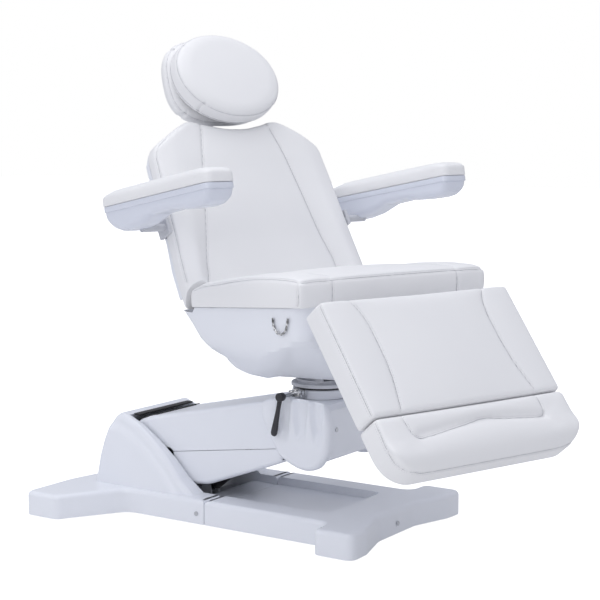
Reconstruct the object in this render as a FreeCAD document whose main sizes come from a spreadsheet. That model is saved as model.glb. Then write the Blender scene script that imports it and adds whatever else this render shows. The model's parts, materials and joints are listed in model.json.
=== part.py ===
import FreeCAD, Part
import math
import os
import Sketcher

os.makedirs("parts", exist_ok=True)
doc = FreeCAD.newDocument("treatment_bed")

# ---------------------------------------------------------------- sizes
# Every driving size is one cell of this sheet, in millimetres or degrees.
# y runs backwards from the swivel axis, z upwards from the floor, x to the sitter's left.
SIZES = [
    ("swivel", -18.36, "rest angle of the swivelled top about the vertical axis"),
    ("wall", 5, "wall of the moulded covers"),
    ("floor_gap", 3, "covers hang this far above the floor"),
    ("base_top", 66, "top of the flat base covers"),
    ("nose_half", 277, "half width over the front feet"),
    ("nose_front", -266, "front of the front feet"),
    ("nose_mid", -229, "front of the base between its feet"),
    ("nose_back", -150, "back of the front feet"),
    ("beam_half", 205, "half width of the base beam"),
    ("seam_y", 228, "joint between the front and rear base covers"),
    ("tail_half", 375, "half width over the rear feet"),
    ("tail_start", 486, "where the beam widens into the rear feet"),
    ("tail_wide", 570, "front of the rear feet"),
    ("tail_back", 693, "back of the base"),
    ("pan_half", 130, "half width of the recess under the lift arm"),
    ("pan_front", -105, "front of the recess"),
    ("pan_floor", 44, "floor of the recess"),
    ("hump_half", 190, "half width of the rear housing"),
    ("hump_back", 606, "back of the rear housing"),
    ("hump_crest_y", 546, "crest of the rear housing"),
    ("hump_crest_z", 258, "height of that crest"),
    ("rail_in", 145, "inner face of the base rails"),
    ("rail_out", 188, "outer face of the base rails"),
    ("frame_low", 14, "underside of the steel base frame"),
    ("frame_top", 54, "top of the steel base frame"),
    ("arm_y", 470, "rear pivot of the lift arm"),
    ("arm_z", 170, "height of that pivot"),
    ("head_y", 20, "front pivot of the lift arm"),
    ("head_z", 250, "height of that pivot"),
    ("link_rise", 45, "levelling link above the lift arm at both ends"),
    ("shaft_radius", 14, "lift arm shafts"),
    ("link_pin", 6, "levelling link pins"),
    ("run_gap", 0.05, "radial running clearance on pins and shafts"),
    ("arm_in", 84, "inner face of the lift arm plates"),
    ("arm_out", 94, "outer face of the lift arm plates"),
    ("cover_half", 122, "half width of the lift arm covers"),
    ("ear_in", 127, "inner face of the head side covers"),
    ("ear_out", 150, "outer face of the head side covers"),
    ("collar_radius", 75, "fixed ring under the turntable"),
    ("turn_radius", 78, "turntable plate"),
    ("spindle_radius", 20, "swivel spindle"),
    ("lever_y", 14, "clamp lever pivot"),
    ("lever_z", 353, "height of that pivot"),
    ("tilt_y", 20, "seat tilt axle"),
    ("tilt_z", 440, "height of that axle"),
    ("seat_half", 300, "half width of the seat, leg rest and lower back"),
    ("leg_y", -290, "leg rest hinge"),
    ("leg_z", 592, "height of the leg rest hinge"),
    ("leg_drop", 51.2, "leg rest below the horizontal at rest"),
    ("back_y", 222, "backrest hinge"),
    ("back_z", 556, "height of the backrest hinge"),
    ("back_angle", 61.5, "backrest above the horizontal at rest"),
    ("hinge_pin", 6, "seat, leg rest and headrest hinge rods"),
    ("armrest_x", 378, "centre of each armrest"),
    ("armrest_y", 270, "armrest pivot"),
    ("armrest_z", 766, "height of the armrest pivot"),
    ("armrest_rise", 9.6, "armrest above the horizontal at rest"),
    ("armrest_half", 43, "half width of an armrest"),
    ("armrest_pin", 10, "armrest pivot pin"),
    ("headrest_y", 548, "headrest hinge"),
    ("headrest_z", 1110, "height of the headrest hinge"),
    ("headrest_angle", 72, "headrest face above the horizontal at rest"),
    ("pillow_angle", 58, "head pillow face above the horizontal at rest"),
    ("pillow_half", 166, "half width of the head pillow"),
    ("pillow_tall", 134, "half height of the head pillow"),
    ("pillow_ahead", 136.6, "pillow's middle ahead of the headrest hinge"),
    ("pillow_up", 2.9, "pillow's middle above that hinge, along the headrest"),
    ("cushion_front", 101.5, "pillow is cut flat this far ahead of the hinge"),
    ("leg_long", 302, "length of the leg rest cushion"),
    ("foot_start", 320, "leg hinge to the footrest cushion"),
    ("foot_end", 462, "leg hinge to the end of the footrest"),
]
sheet = doc.addObject("Spreadsheet::Sheet", "Sizes")
for row, (alias, number, note) in enumerate(SIZES, start=1):
    sheet.set(f"A{row}", alias)
    sheet.set(f"B{row}", str(number))
    sheet.set(f"C{row}", note)
    sheet.setAlias(f"B{row}", alias)
doc.recompute()
NAMES = {alias for alias, number, note in SIZES}


def value(text):
    """Number for a sum of sheet names and plain numbers, such as 'arm_z + link_rise'."""
    total = 0.0
    sign = 1.0
    for token in str(text).split():
        if token == "+":
            sign = 1.0
        elif token == "-":
            sign = -1.0
        else:
            number = sheet.get(token) if token in NAMES else token
            total += sign * float(number)
            sign = 1.0
    return total


def linked(text):
    """The same sum written for FreeCAD, with every name pointing at the sheet."""
    words = ["Sizes." + word if word in NAMES else word for word in str(text).split()]
    return " ".join(words)


def minus(text):
    """The negative of a sum."""
    swapped = {"+": "-", "-": "+"}
    words = [swapped.get(word, word) for word in str(text).split()]
    if words[0] == "+":
        return " ".join(words[1:])
    return " ".join(words) if words[0] == "-" else "- " + " ".join(words)


# ---------------------------------------------------------------- modelling helpers
def start_body(label, placement=None):
    """One named sub-part; every later feature of it goes into this body."""
    body = doc.addObject("PartDesign::Body", label)
    body.Label = label
    body.AllowCompound = True
    body.Placement = placement or FreeCAD.Placement()
    return body


def plane_of(body, role):
    for feature in body.Origin.OriginFeatures:
        if feature.Role == role + "_Plane":
            return feature
    raise ValueError(role)


def new_sketch(body, role, low, high):
    """A sketch halfway between two stations along the normal of an origin plane."""
    sketch = body.newObject("Sketcher::SketchObject", "Sketch")
    sketch.AttachmentSupport = [(plane_of(body, role), "")]
    sketch.MapMode = "FlatFace"
    sign = -1.0 if role == "XZ" else 1.0
    middle = sign * (value(low) + value(high)) / 2
    sketch.AttachmentOffset = FreeCAD.Placement(FreeCAD.Vector(0, 0, middle), FreeCAD.Rotation())
    formula = f"({linked(low)} + ({linked(high)})) / 2 * {sign:.0f}"
    sketch.setExpression(".AttachmentOffset.Base.z", formula)
    return sketch


def place_point(sketch, geometry, vertex, point):
    """Dimension one sketch point from the origin, each dimension bound to the sheet."""
    kinds = (("DistanceX", point[0], -2), ("DistanceY", point[1], -1))
    for kind, text, axis in kinds:
        number = value(text)
        if abs(number) < 1e-9:
            sketch.addConstraint(Sketcher.Constraint("PointOnObject", geometry, vertex, axis))
            continue
        index = sketch.addConstraint(
            Sketcher.Constraint(kind, -1, 1, geometry, vertex, number))
        sketch.setExpression(f"Constraints[{index}]", linked(text))


def extrude(body, sketch, low, high, hollow):
    """Pad or pocket a sketch to both sides, and prove a pocket really removed material."""
    before = body.Shape.Volume if hollow else 0.0
    kind = "PartDesign::Pocket" if hollow else "PartDesign::Pad"
    feature = body.newObject(kind, "Cut" if hollow else "Pad")
    feature.Profile = sketch
    feature.SideType = "Symmetric"
    feature.setExpression("Length", f"{linked(high)} - ({linked(low)})")
    sketch.Visibility = False
    doc.recompute()
    if hollow and not feature.Shape.Volume < before - 1e-3:
        raise RuntimeError(f"{body.Label}: a pocket removed nothing")
    return feature


def slab(body, role, low, high, corners, hollow=False):
    """A straight-sided profile carried from low to high along the plane's normal."""
    sketch = new_sketch(body, role, low, high)
    points = [FreeCAD.Vector(value(a), value(b), 0) for a, b in corners]
    count = len(points)
    for index in range(count):
        sketch.addGeometry(Part.LineSegment(points[index], points[(index + 1) % count]), False)
    for index in range(count):
        sketch.addConstraint(
            Sketcher.Constraint("Coincident", index, 2, (index + 1) % count, 1))
        place_point(sketch, index, 1, corners[index])
    return extrude(body, sketch, low, high, hollow)


def disc(body, role, low, high, centre, radius, hollow=False):
    """A round profile carried from low to high along the plane's normal."""
    sketch = new_sketch(body, role, low, high)
    middle = FreeCAD.Vector(value(centre[0]), value(centre[1]), 0)
    circle = Part.Circle(middle, FreeCAD.Vector(0, 0, 1), value(radius))
    sketch.addGeometry(circle, False)
    index = sketch.addConstraint(Sketcher.Constraint("Radius", 0, value(radius)))
    sketch.setExpression(f"Constraints[{index}]", linked(radius))
    place_point(sketch, 0, 3, centre)
    return extrude(body, sketch, low, high, hollow)


def box(body, x_span, y_span, z_span, hollow=False):
    """A rectangular block between three pairs of stations."""
    corners = [(x_span[0], y_span[0]), (x_span[1], y_span[0]),
               (x_span[1], y_span[1]), (x_span[0], y_span[1])]
    return slab(body, "XY", z_span[0], z_span[1], corners, hollow)


def both(span):
    """A span on the sitter's left and the same span mirrored."""
    return [span, (minus(span[1]), minus(span[0]))]


def mirrored(corners):
    """Close an outline given for x > 0 by adding its mirror image."""
    other = [(minus(a), b) for a, b in reversed(corners) if abs(value(a)) > 1e-9]
    return list(corners) + other


def soften(body, radius, wanted):
    """Round every edge of the tip that the test picks out."""
    tip = body.Tip
    names = []
    for index, edge in enumerate(tip.Shape.Edges, start=1):
        if wanted(edge):
            names.append(f"Edge{index}")
    fillet = body.newObject("PartDesign::Fillet", "Round")
    fillet.Base = (tip, names)
    fillet.Radius = radius
    doc.recompute()
    if fillet.Shape.isNull() or not fillet.isValid():
        raise RuntimeError(f"{body.Label}: rounding failed")
    return fillet


def runs_along(edge, axis):
    """True for a straight edge parallel to one local axis."""
    if not isinstance(edge.Curve, Part.Line):
        return False
    return abs(getattr(edge.Curve.Direction, axis)) > 0.999


def at_height(edge, axis, level):
    """True when every end of the edge lies at one level of a local axis."""
    return all(abs(getattr(vertex.Point, axis) - level) < 0.01 for vertex in edge.Vertexes)


# ---------------------------------------------------------------- frames
def turn(axis, degrees):
    vectors = {"x": FreeCAD.Vector(1, 0, 0), "z": FreeCAD.Vector(0, 0, 1)}
    return FreeCAD.Rotation(vectors[axis], degrees)


def shifted(parent, x, y, z, lean=0.0):
    """A frame hung in another one: moved, then leaned about its own x axis."""
    place = FreeCAD.Vector(value(x), value(y), value(z))
    return parent.multiply(FreeCAD.Placement(place, turn("x", lean)))


GROUND = FreeCAD.Placement()
TOP = FreeCAD.Placement(FreeCAD.Vector(0, 0, 0), turn("z", value("swivel")))
# In the back and headrest frames z runs up the cushion and y points to its rear.
BACK = shifted(TOP, 0, "back_y", "back_z", value("back_angle") - 90)
HEADREST = shifted(TOP, 0, "headrest_y", "headrest_z", value("headrest_angle") - 90)
# In the leg frame -y runs down the leg rest and z points out of its padded face.
LEG = shifted(TOP, 0, "leg_y", "leg_z", value("leg_drop"))


def armrest_frame(side):
    return shifted(TOP, "armrest_x" if side > 0 else "- armrest_x",
                   "armrest_y", "armrest_z", -value("armrest_rise"))


# ---------------------------------------------------------------- base
def base_front_cover():
    body = start_body("base_front_cover")
    outline = mirrored([("110", "nose_mid"), ("beam_half", "nose_front + 4"),
                        ("nose_half", "nose_front"), ("nose_half", "nose_back"),
                        ("beam_half", "nose_back"), ("beam_half", "seam_y - 1")])
    slab(body, "XY", "floor_gap", "base_top", outline)
    soften(body, 20, lambda e: runs_along(e, "z") and e.Vertexes[0].Point.y < 200)
    top = value("base_top")
    soften(body, 10, lambda e: at_height(e, "z", top)
           and min(v.Point.y for v in e.Vertexes) < 220)
    box(body, ("- pan_half", "pan_half"), ("pan_front", "seam_y + 5"),
        ("pan_floor", "base_top + 5"), hollow=True)
    inner = [("110", "nose_mid + wall"), ("beam_half", "nose_front + wall + 4"),
             ("nose_half - wall", "nose_front + wall"),
             ("nose_half - wall", "nose_back - wall"),
             ("beam_half - wall", "nose_back - wall"), ("beam_half - wall", "seam_y + 5")]
    slab(body, "XY", "-5", "pan_floor - wall", mirrored(inner), hollow=True)
    recess_side = [("pan_half + wall", "seam_y + 5"), ("pan_half + wall", "pan_front - wall")]
    slab(body, "XY", "pan_floor - wall", "base_top - wall", mirrored(inner + recess_side),
         hollow=True)
    disc(body, "XZ", "nose_mid - 5", "nose_mid + wall + 5", (0, 30), "3.2", hollow=True)
    return body


def base_rear_cover():
    body = start_body("base_rear_cover")
    outline = mirrored([("beam_half", "seam_y + 1"), ("beam_half", "tail_start"),
                        ("tail_half - 30", "tail_wide"), ("tail_half", "tail_wide + 12"),
                        ("tail_half", "tail_back"), ("200", "tail_back"),
                        ("110", "tail_back - 16")])
    slab(body, "XY", "floor_gap", "base_top", outline)
    soften(body, 20, lambda e: runs_along(e, "z") and e.Vertexes[0].Point.y > 240)
    top = value("base_top")
    soften(body, 10, lambda e: at_height(e, "z", top)
           and max(v.Point.y for v in e.Vertexes) > 235)
    crest = [("hump_back", "base_top - 8"), ("hump_back", 100), ("hump_back - 6", 160),
             ("hump_back - 18", 208), ("hump_crest_y + 20", "hump_crest_z - 9"),
             ("hump_crest_y", "hump_crest_z"), ("hump_crest_y - 26", "hump_crest_z - 8"),
             (488, 230), (430, 192), (380, 151), (330, 100), (290, 72), (236, "base_top - 8")]
    slab(body, "YZ", "- hump_half", "hump_half", crest)
    side = value("hump_half")
    soften(body, 9, lambda e: (at_height(e, "x", side) or at_height(e, "x", -side))
           and e.CenterOfMass.z > 110)
    hollow_base = mirrored([("beam_half - wall", "seam_y - 5"),
                            ("beam_half - wall", "tail_start + 2"),
                            ("tail_half - 32", "tail_wide + wall"),
                            ("tail_half - wall", "tail_wide + 15"),
                            ("tail_half - wall", "tail_back - wall"),
                            ("200", "tail_back - wall"), ("110", "tail_back - 21")])
    slab(body, "XY", "-5", "base_top - wall", hollow_base, hollow=True)
    inside = [("hump_back - wall", "base_top - 12"), ("hump_back - wall", 99),
              ("hump_back - 11", 158), ("hump_back - 23", 205),
              ("hump_crest_y + 16", "hump_crest_z - 15"),
              ("hump_crest_y", "hump_crest_z - wall"), ("hump_crest_y - 24", "hump_crest_z - 13"),
              (490, 224), (433, 187), (384, 146), (334, 95), (296, "base_top - 12")]
    slab(body, "YZ", "wall - hump_half", "hump_half - wall", inside, hollow=True)
    walls = [("hump_back - 2", "base_top - 6"), ("hump_back - 2", 100), ("hump_back - 8", 159),
             ("hump_back - 20", 207), ("hump_crest_y + 18", "hump_crest_z - 12"),
             ("hump_crest_y", "hump_crest_z - 2"), ("hump_crest_y - 25", "hump_crest_z - 10"),
             (489, 227), (431, 190), (382, 149), (332, 97), (293, 70), (240, "base_top - 6")]
    for low, high in both(("pan_half", "pan_half + wall")):
        slab(body, "YZ", low, high, walls)
    channel = [(200, 0), (200, 400), (532, 400), (532, 232), (560, 205), (575, 160), (582, 100),
               (582, 0)]
    slab(body, "YZ", "- pan_half", "pan_half", channel, hollow=True)
    for low, high in both(("beam_half - 12", "beam_half + 5")):
        disc(body, "YZ", low, high, (252, 30), "3.2", hollow=True)
    return body


def base_frame():
    body = start_body("base_frame")
    levels = ("frame_low", "frame_top")
    for span in both(("rail_in", "rail_out")):
        box(body, span, (-165, 605), levels)
    box(body, (-262, 262), (-212, -165), levels)
    box(body, (-362, 362), (605, 655), levels)
    box(body, ("- rail_out", "rail_out"), (422, 518), ("frame_low", "frame_low + 10"))
    box(body, ("- rail_out", "rail_out"), (330, 388), ("frame_low", "frame_low + 10"))
    box(body, ("- rail_out", "rail_out"), (526, 584), ("frame_low", "frame_low + 10"))
    upright = [(424, 16), (516, 16), (516, 60), (498, 236), (442, 236), (424, 60)]
    for low, high in both(("arm_out + 4", "arm_out + 14")):
        slab(body, "YZ", low, high, upright)
        disc(body, "YZ", low, high, ("arm_y", "arm_z"), "shaft_radius + run_gap", hollow=True)
    disc(body, "YZ", "arm_out", "arm_out + 20", ("arm_y", "arm_z + link_rise"),
         "link_pin + run_gap", hollow=True)
    for low, high in both((14, 22)):
        slab(body, "YZ", low, high, [(340, 16), (380, 16), (372, 57), (348, 57)])
    disc(body, "YZ", -22, 22, (360, 45), 5)
    return body


def plain_shaft(label, x_span, centre, radius, placement=None):
    body = start_body(label, placement)
    disc(body, "YZ", x_span[0], x_span[1], centre, radius)
    return body


def arm_shafts(label, y, z):
    """The main shaft at one end of the lift arm, and the levelling link's pin above it."""
    body = start_body(label)
    disc(body, "YZ", -108, 108, (y, z), "shaft_radius")
    disc(body, "YZ", 56, 108, (y, z + " + link_rise"), "link_pin")
    return body


def leveling_feet():
    body = start_body("leveling_feet")
    for x, y in ((235, -188), (-235, -188), (330, 630), (-330, 630)):
        disc(body, "XY", 0, 8, (x, y), 20)
        disc(body, "XY", 8, "frame_low", (x, y), 6)
    return body


def cover_screws():
    body = start_body("cover_screws")
    disc(body, "XZ", "nose_mid - 2", "nose_mid", (0, 30), 6)
    disc(body, "XZ", "nose_mid", "nose_mid + 12", (0, 30), 3)
    for sign in ("", "- "):
        near = ("beam_half - 12", "beam_half")
        head = ("beam_half", "beam_half + 2")
        if sign:
            near = (minus(near[1]), minus(near[0]))
            head = (minus(head[1]), minus(head[0]))
        disc(body, "YZ", near[0], near[1], (252, 30), 3)
        disc(body, "YZ", head[0], head[1], (252, 30), 6)
    return body


def control_box():
    body = start_body("control_box")
    box(body, (-120, 120), (534, 576), ("frame_low + 11", 52))
    box(body, (-126, 126), (530, 580), ("frame_low + 10", "frame_low + 13"))
    return body


# ---------------------------------------------------------------- lift arm
def lift_arm_frame():
    body = start_body("lift_arm_frame")
    plate = [("arm_y + 18", "arm_z - 20"), ("arm_y + 22", "arm_z + 8"),
             ("arm_y + 6", "arm_z + 22"), ("head_y - 4", "head_z + 22"),
             ("head_y - 22", "head_z + 10"), ("head_y - 20", "head_z - 14"),
             ("head_y - 4", "head_z - 22")]
    for low, high in both(("arm_in", "arm_out")):
        slab(body, "YZ", low, high, plate)
    disc(body, "YZ", "- arm_in", "arm_in", (245, 210), 12)
    disc(body, "YZ", "- arm_in", "arm_in", (130, 230), 12)
    for centre in (("arm_y", "arm_z"), ("head_y", "head_z")):
        disc(body, "YZ", "- arm_out - 1", "arm_out + 1", centre,
             "shaft_radius + run_gap", hollow=True)
    return body


def levelling_link():
    body = start_body("levelling_link")
    rear = ("arm_y", "arm_z + link_rise")
    front = ("head_y", "head_z + link_rise")
    slab(body, "YZ", 60, 68, [("arm_y", "arm_z + link_rise - 9"),
                              ("arm_y", "arm_z + link_rise + 9"),
                              ("head_y", "head_z + link_rise + 9"),
                              ("head_y", "head_z + link_rise - 9")])
    for centre in (rear, front):
        disc(body, "YZ", 60, 68, centre, 13)
        disc(body, "YZ", 58, 70, centre, "link_pin + run_gap", hollow=True)
    return body


def arm_upper_cover():
    body = start_body("arm_upper_cover")
    outer = [(478, 158), (478, 247), (97, 328), (82, 300), (72, 252), (74, 208), (400, 162)]
    slab(body, "YZ", "- cover_half", "cover_half", outer)
    soften(body, 12, lambda e: abs(e.CenterOfMass.z - 288) < 20
           and (at_height(e, "x", value("cover_half")) or at_height(e, "x", -value("cover_half")))
           and e.Length > 200)
    inner = [(490, 140), (490, 239), (60, 331), (60, 190), (400, 140)]
    slab(body, "YZ", "wall - cover_half", "cover_half - wall", inner, hollow=True)
    # the roof is sunk between two side rims
    sunk = [(484, 243.6), (484, 270), (90, 350), (90, 327)]
    slab(body, "YZ", "24 - cover_half", "cover_half - 24", sunk, hollow=True)
    return body


def arm_lower_cover():
    body = start_body("arm_lower_cover")
    outer = [(400, 159), (74, 205), (60, 178), (66, 164), (278, 86), (330, 80), (400, 108)]
    slab(body, "YZ", "- cover_half", "cover_half", outer)
    side = value("cover_half")
    soften(body, 12, lambda e: (at_height(e, "x", side) or at_height(e, "x", -side))
           and e.CenterOfMass.z < 130 and e.Length > 100)
    inner = [(420, 190), (50, 240), (50, 177), (280, 91), (330, 85), (420, 120)]
    slab(body, "YZ", "wall - cover_half", "cover_half - wall", inner, hollow=True)
    box(body, (-45, 45), (190, 420), (60, 140), hollow=True)
    return body


def slot_boot():
    """Dark flexible shield, an arc about the rear pivot, that keeps the housing slot closed."""
    body = start_body("slot_boot")
    disc(body, "YZ", -112, 112, ("arm_y", "arm_z"), 79)
    disc(body, "YZ", -113, 113, ("arm_y", "arm_z"), 75, hollow=True)
    box(body, (-120, 120), (300, "arm_y + 11"), (0, 400), hollow=True)
    box(body, (-120, 120), (300, 600), (0, "arm_z + 24"), hollow=True)
    return body


# ---------------------------------------------------------------- head
def head_frame():
    body = start_body("head_frame")
    cheek = [(-82, 322), (-82, 212), (-40, 206), (38, 226), (46, 240), (46, 322)]
    for low, high in both(("arm_out + 4", "arm_out + 14")):
        slab(body, "YZ", low, high, cheek)
    box(body, (-108, 108), (-82, 46), (316, 328))
    box(body, (-108, 108), (-92, -80), (210, 328))
    disc(body, "XY", 300, 345, (0, 0), 32)
    disc(body, "XY", 290, 350, (0, 0), "spindle_radius + run_gap", hollow=True)
    for low, high in both(("arm_out + 2", "arm_out + 16")):
        disc(body, "YZ", low, high, ("head_y", "head_z"), "shaft_radius + run_gap", hollow=True)
    disc(body, "YZ", "arm_out + 2", "arm_out + 16", ("head_y", "head_z + link_rise"),
         "link_pin + run_gap", hollow=True)
    return body


# outline of the head side covers, (y, z), and how their hollow is drawn in towards the middle
EAR_MIDDLE = (-26, 256)
EAR_HOLLOW = 0.9
EAR = [(-98, 337), (-60, 343), (-22, 345), (14, 344), (58, 341), (84, 331), (90, 310),
       (84, 282), (68, 252), (50, 221), (34, 197), (-4, 176), (-44, 167), (-82, 178),
       (-106, 212), (-112, 250), (-112, 305)]


def head_side_cover(label, side):
    body = start_body(label)
    spans = both(("ear_in", "ear_out"))
    low, high = spans[0] if side > 0 else spans[1]
    slab(body, "YZ", low, high, EAR)
    outer = value("ear_out") * side
    soften(body, 9, lambda e: at_height(e, "x", outer))
    hollow = []
    for point in EAR:
        hollow.append(tuple(round(middle + (place - middle) * EAR_HOLLOW, 2)
                            for place, middle in zip(point, EAR_MIDDLE)))
    if side > 0:
        slab(body, "YZ", "ear_in - 2", "ear_out - wall", hollow, hollow=True)
    else:
        slab(body, "YZ", "wall - ear_out", "2 - ear_in", hollow, hollow=True)
    return body


def head_front_cover():
    body = start_body("head_front_cover")
    strip = [(-105, 202), (-105, 322), (-93, 335), (58, 335), (58, 330), (-91, 330),
             (-100, 320), (-100, 205), (-92, 199), (-26, 195), (-26, 190), (-94, 194)]
    slab(body, "YZ", "1 - ear_in", "ear_in - 1", strip)
    disc(body, "XY", 325, 340, (0, 0), 36, hollow=True)
    disc(body, "XZ", -110, -95, (-94, 271), "3.2", hollow=True)
    return body


def swivel_collar():
    body = start_body("swivel_collar")
    disc(body, "XY", 336, 358, (0, 0), "collar_radius")
    soften(body, 4, lambda e: at_height(e, "z", 358))
    disc(body, "XY", 330, 360, (0, 0), 40, hollow=True)
    return body


def swivel_bearing():
    body = start_body("swivel_bearing")
    disc(body, "XY", 358, 364, (0, 0), "collar_radius - 9")
    disc(body, "XY", 350, 370, (0, 0), 24, hollow=True)
    return body


def clamp_block():
    body = start_body("clamp_block")
    box(body, (-114, -79), ("lever_y - 20", "lever_y + 12"), (346, 361))
    disc(body, "XY", 361, 367, (-104, "lever_y - 4"), 6)
    disc(body, "YZ", -115, -100, ("lever_y", "lever_z"), 5, hollow=True)
    soften(body, 2, lambda e: runs_along(e, "z") and e.Length > 10)
    return body


def head_screw():
    body = start_body("head_screw")
    disc(body, "XZ", -107, -105, (-94, 271), 6)
    disc(body, "XZ", -105, -94, (-94, 271), 3)
    return body


def lock_lever():
    """Clamp lever: a boss on the stud with a flat grip hanging from it, wider at its end."""
    lever = start_body("lock_lever")
    disc(lever, "YZ", -176, -158, ("lever_y", "lever_z"), 11)
    disc(lever, "YZ", -160, -154, ("lever_y", "lever_z"), 8)
    grip = [("lever_y + 6", "lever_z - 8"), ("lever_y - 6", "lever_z - 5"),
            ("lever_y + 12", "lever_z - 92"), ("lever_y + 20", "lever_z - 102"),
            ("lever_y + 29", "lever_z - 96")]
    slab(lever, "YZ", -174, -162, grip)
    disc(lever, "YZ", -160, -153, ("lever_y", "lever_z"), "5 + run_gap", hollow=True)
    return lever


# ---------------------------------------------------------------- turntable
def turntable_plate():
    body = start_body("turntable_plate", TOP)
    disc(body, "XY", 364, 373, (0, 0), "turn_radius")
    soften(body, 3, lambda e: at_height(e, "z", 373))
    return body


def swivel_spindle():
    body = start_body("swivel_spindle", TOP)
    disc(body, "XY", 300, 364, (0, 0), "spindle_radius")
    return body


def tilt_bracket():
    body = start_body("tilt_bracket", TOP)
    disc(body, "XY", 373, 381, (0, 0), 64)
    cheek = [(-56, 379), (58, 379), (44, 455), (-4, 455), (-50, 412)]
    for low, high in both((38, 48)):
        slab(body, "YZ", low, high, cheek)
    for low, high in both((36, 50)):
        disc(body, "YZ", low, high, ("tilt_y", "tilt_z"), "10 + run_gap", hollow=True)
    disc(body, "YZ", -40, 40, (-30, 401), 6)
    return body


# ---------------------------------------------------------------- seat
def actuator_lugs(body, x_mid, y, z, top):
    """Two lugs hanging from a cross member and the pin between them."""
    for low, high in ((x_mid - 16, x_mid - 10), (x_mid + 10, x_mid + 16)):
        slab(body, "YZ", low, high,
             [(y - 12, top), (y + 12, top), (y + 9, z - 10), (y - 9, z - 10)])
    disc(body, "YZ", x_mid - 16, x_mid + 16, (y, z), 5)


def seat_frame():
    body = start_body("seat_frame", TOP)
    rail = [(168, 555), (150, 562), (-250, 597), (-290, 603), (-302, 592), (-290, 580),
            (-250, 570), (160, 534), ("back_y", "back_z - 12"), ("back_y + 12", "back_z"),
            ("back_y", "back_z + 11")]
    for low, high in both((150, 180)):
        slab(body, "YZ", low, high, rail)
        disc(body, "YZ", low, high, ("leg_y", "leg_z"), "hinge_pin + run_gap", hollow=True)
        disc(body, "YZ", low, high, ("back_y", "back_z"), "hinge_pin + run_gap", hollow=True)
    for low_y, high_y, low_z in ((130, 158, 540), (-36, 54, 552), (-106, -74, 558),
                                 (-246, -190, 572)):
        box(body, (-152, 152), (low_y, high_y), (low_z, low_z + 10))
    # the rear member steps over the backrest actuator's rod
    box(body, (74, 116), (130, 158), (542, 569))
    box(body, (82, 108), (128, 160), (530, 565), hollow=True)
    hanger = [(-16, 558), (56, 558), (36, 424), (4, 424)]
    for low, high in both((52, 62)):
        slab(body, "YZ", low, high, hanger)
        disc(body, "YZ", low, high, ("tilt_y", "tilt_z"), "10 + run_gap", hollow=True)
    actuator_lugs(body, 95, -90, 505, 562)
    actuator_lugs(body, -95, -20, 520, 556)
    actuator_lugs(body, 0, -200, 520, 576)
    return body


def seat_hinge_rods():
    body = start_body("seat_hinge_rods", TOP)
    disc(body, "YZ", -198, 198, ("leg_y", "leg_z"), "hinge_pin")
    disc(body, "YZ", -198, 198, ("back_y", "back_z"), "hinge_pin")
    return body


def seat_shell():
    """Tapered tub under the seat: one loft outside, one inside, open at the top."""
    body = start_body("seat_shell", TOP)
    # each station: level, half width, front, back
    stations = [(612, 288, -281, 252), (551, 287, -279, 250), (500, 274, -264, 206),
                (452, 240, -200, 165), (396, 170, -128, 141)]
    for inset, hollow in ((0, False), (5, True)):
        sections = []
        for level, half, front, back in stations:
            drop = 0 if not hollow or level > 600 else 5
            lift = 4 if hollow and level > 600 else 0
            sketch = new_sketch(body, "XY", level + drop + lift, level + drop + lift)
            x, y0, y1 = half - inset, front + inset, back - inset
            corners = [(-x, y0 + 60), (-x + 60, y0), (x - 60, y0), (x, y0 + 60),
                       (x, y1 - 50), (x - 50, y1), (-x + 50, y1), (-x, y1 - 50)]
            points = [FreeCAD.Vector(a, b, 0) for a, b in corners]
            count = len(points)
            for index in range(count):
                line = Part.LineSegment(points[index], points[(index + 1) % count])
                sketch.addGeometry(line, False)
            for index in range(count):
                sketch.addConstraint(
                    Sketcher.Constraint("Coincident", index, 2, (index + 1) % count, 1))
                place_point(sketch, index, 1, corners[index])
            sections.append(sketch)
        kind = "PartDesign::SubtractiveLoft" if hollow else "PartDesign::AdditiveLoft"
        loft = body.newObject(kind, "Loft")
        loft.Profile = sections[0]
        loft.Sections = sections[1:]
        loft.Ruled = True
        doc.recompute()
    above_seat = [(300, 553), (-400, 614), (-400, 700), (300, 700)]
    slab(body, "YZ", -400, 400, above_seat, hollow=True)
    below_backrest = [(164, 556), (260, 550), (260, 620), (164, 620)]
    slab(body, "YZ", -400, 400, below_backrest, hollow=True)
    disc(body, "XY", 380, 420, (0, -10), 100, hollow=True)
    for low, high in both((142, 200)):
        slab(body, "YZ", low, high, [(-320, 572), (-262, 572), (-262, 640), (-320, 640)],
             hollow=True)
    slab(body, "YZ", 72, 118, [(90, 478), (260, 478), (260, 600), (120, 600)], hollow=True)
    slab(body, "YZ", -118, -72, [(-320, 500), (-230, 480), (-230, 572), (-320, 600)],
         hollow=True)
    return body


def seat_cushion():
    body = start_body("seat_cushion", TOP)
    side = [(160, 570), (-250, 606), (-276, 609), (-287, 630), (-286, 662), (-266, 679),
            (-200, 679), (-100, 670), (10, 653), (110, 636), (152, 620)]
    slab(body, "YZ", "- seat_half", "seat_half", side)
    half = value("seat_half")
    soften(body, 12, lambda e: at_height(e, "x", half) or at_height(e, "x", -half))
    return body


def seat_hooks():
    body = start_body("seat_hooks", TOP)
    for side in (1, -1):
        low, high = (288, 294) if side > 0 else (-294, -288)
        loop = [(-240, 584), (-177, 579), (-181, 556), (-192, 541), (-206, 536), (-222, 542),
                (-235, 560)]
        slab(body, "YZ", low, high, loop)
        window = [(-233, 590), (-184, 586), (-187, 558), (-196, 547), (-206, 543),
                  (-218, 548), (-228, 562)]
        slab(body, "YZ", low, high, window, hollow=True)
    return body


# ---------------------------------------------------------------- backrest
BACK_OUTLINE = [(300, -15), (300, 60), (291, 180), (290, 237), (286, 310), (285, 372),
                (283, 404), (267, 436), (205, 474), (150, 505), (118, 504), (92, 493),
                (40, 481)]


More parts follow.
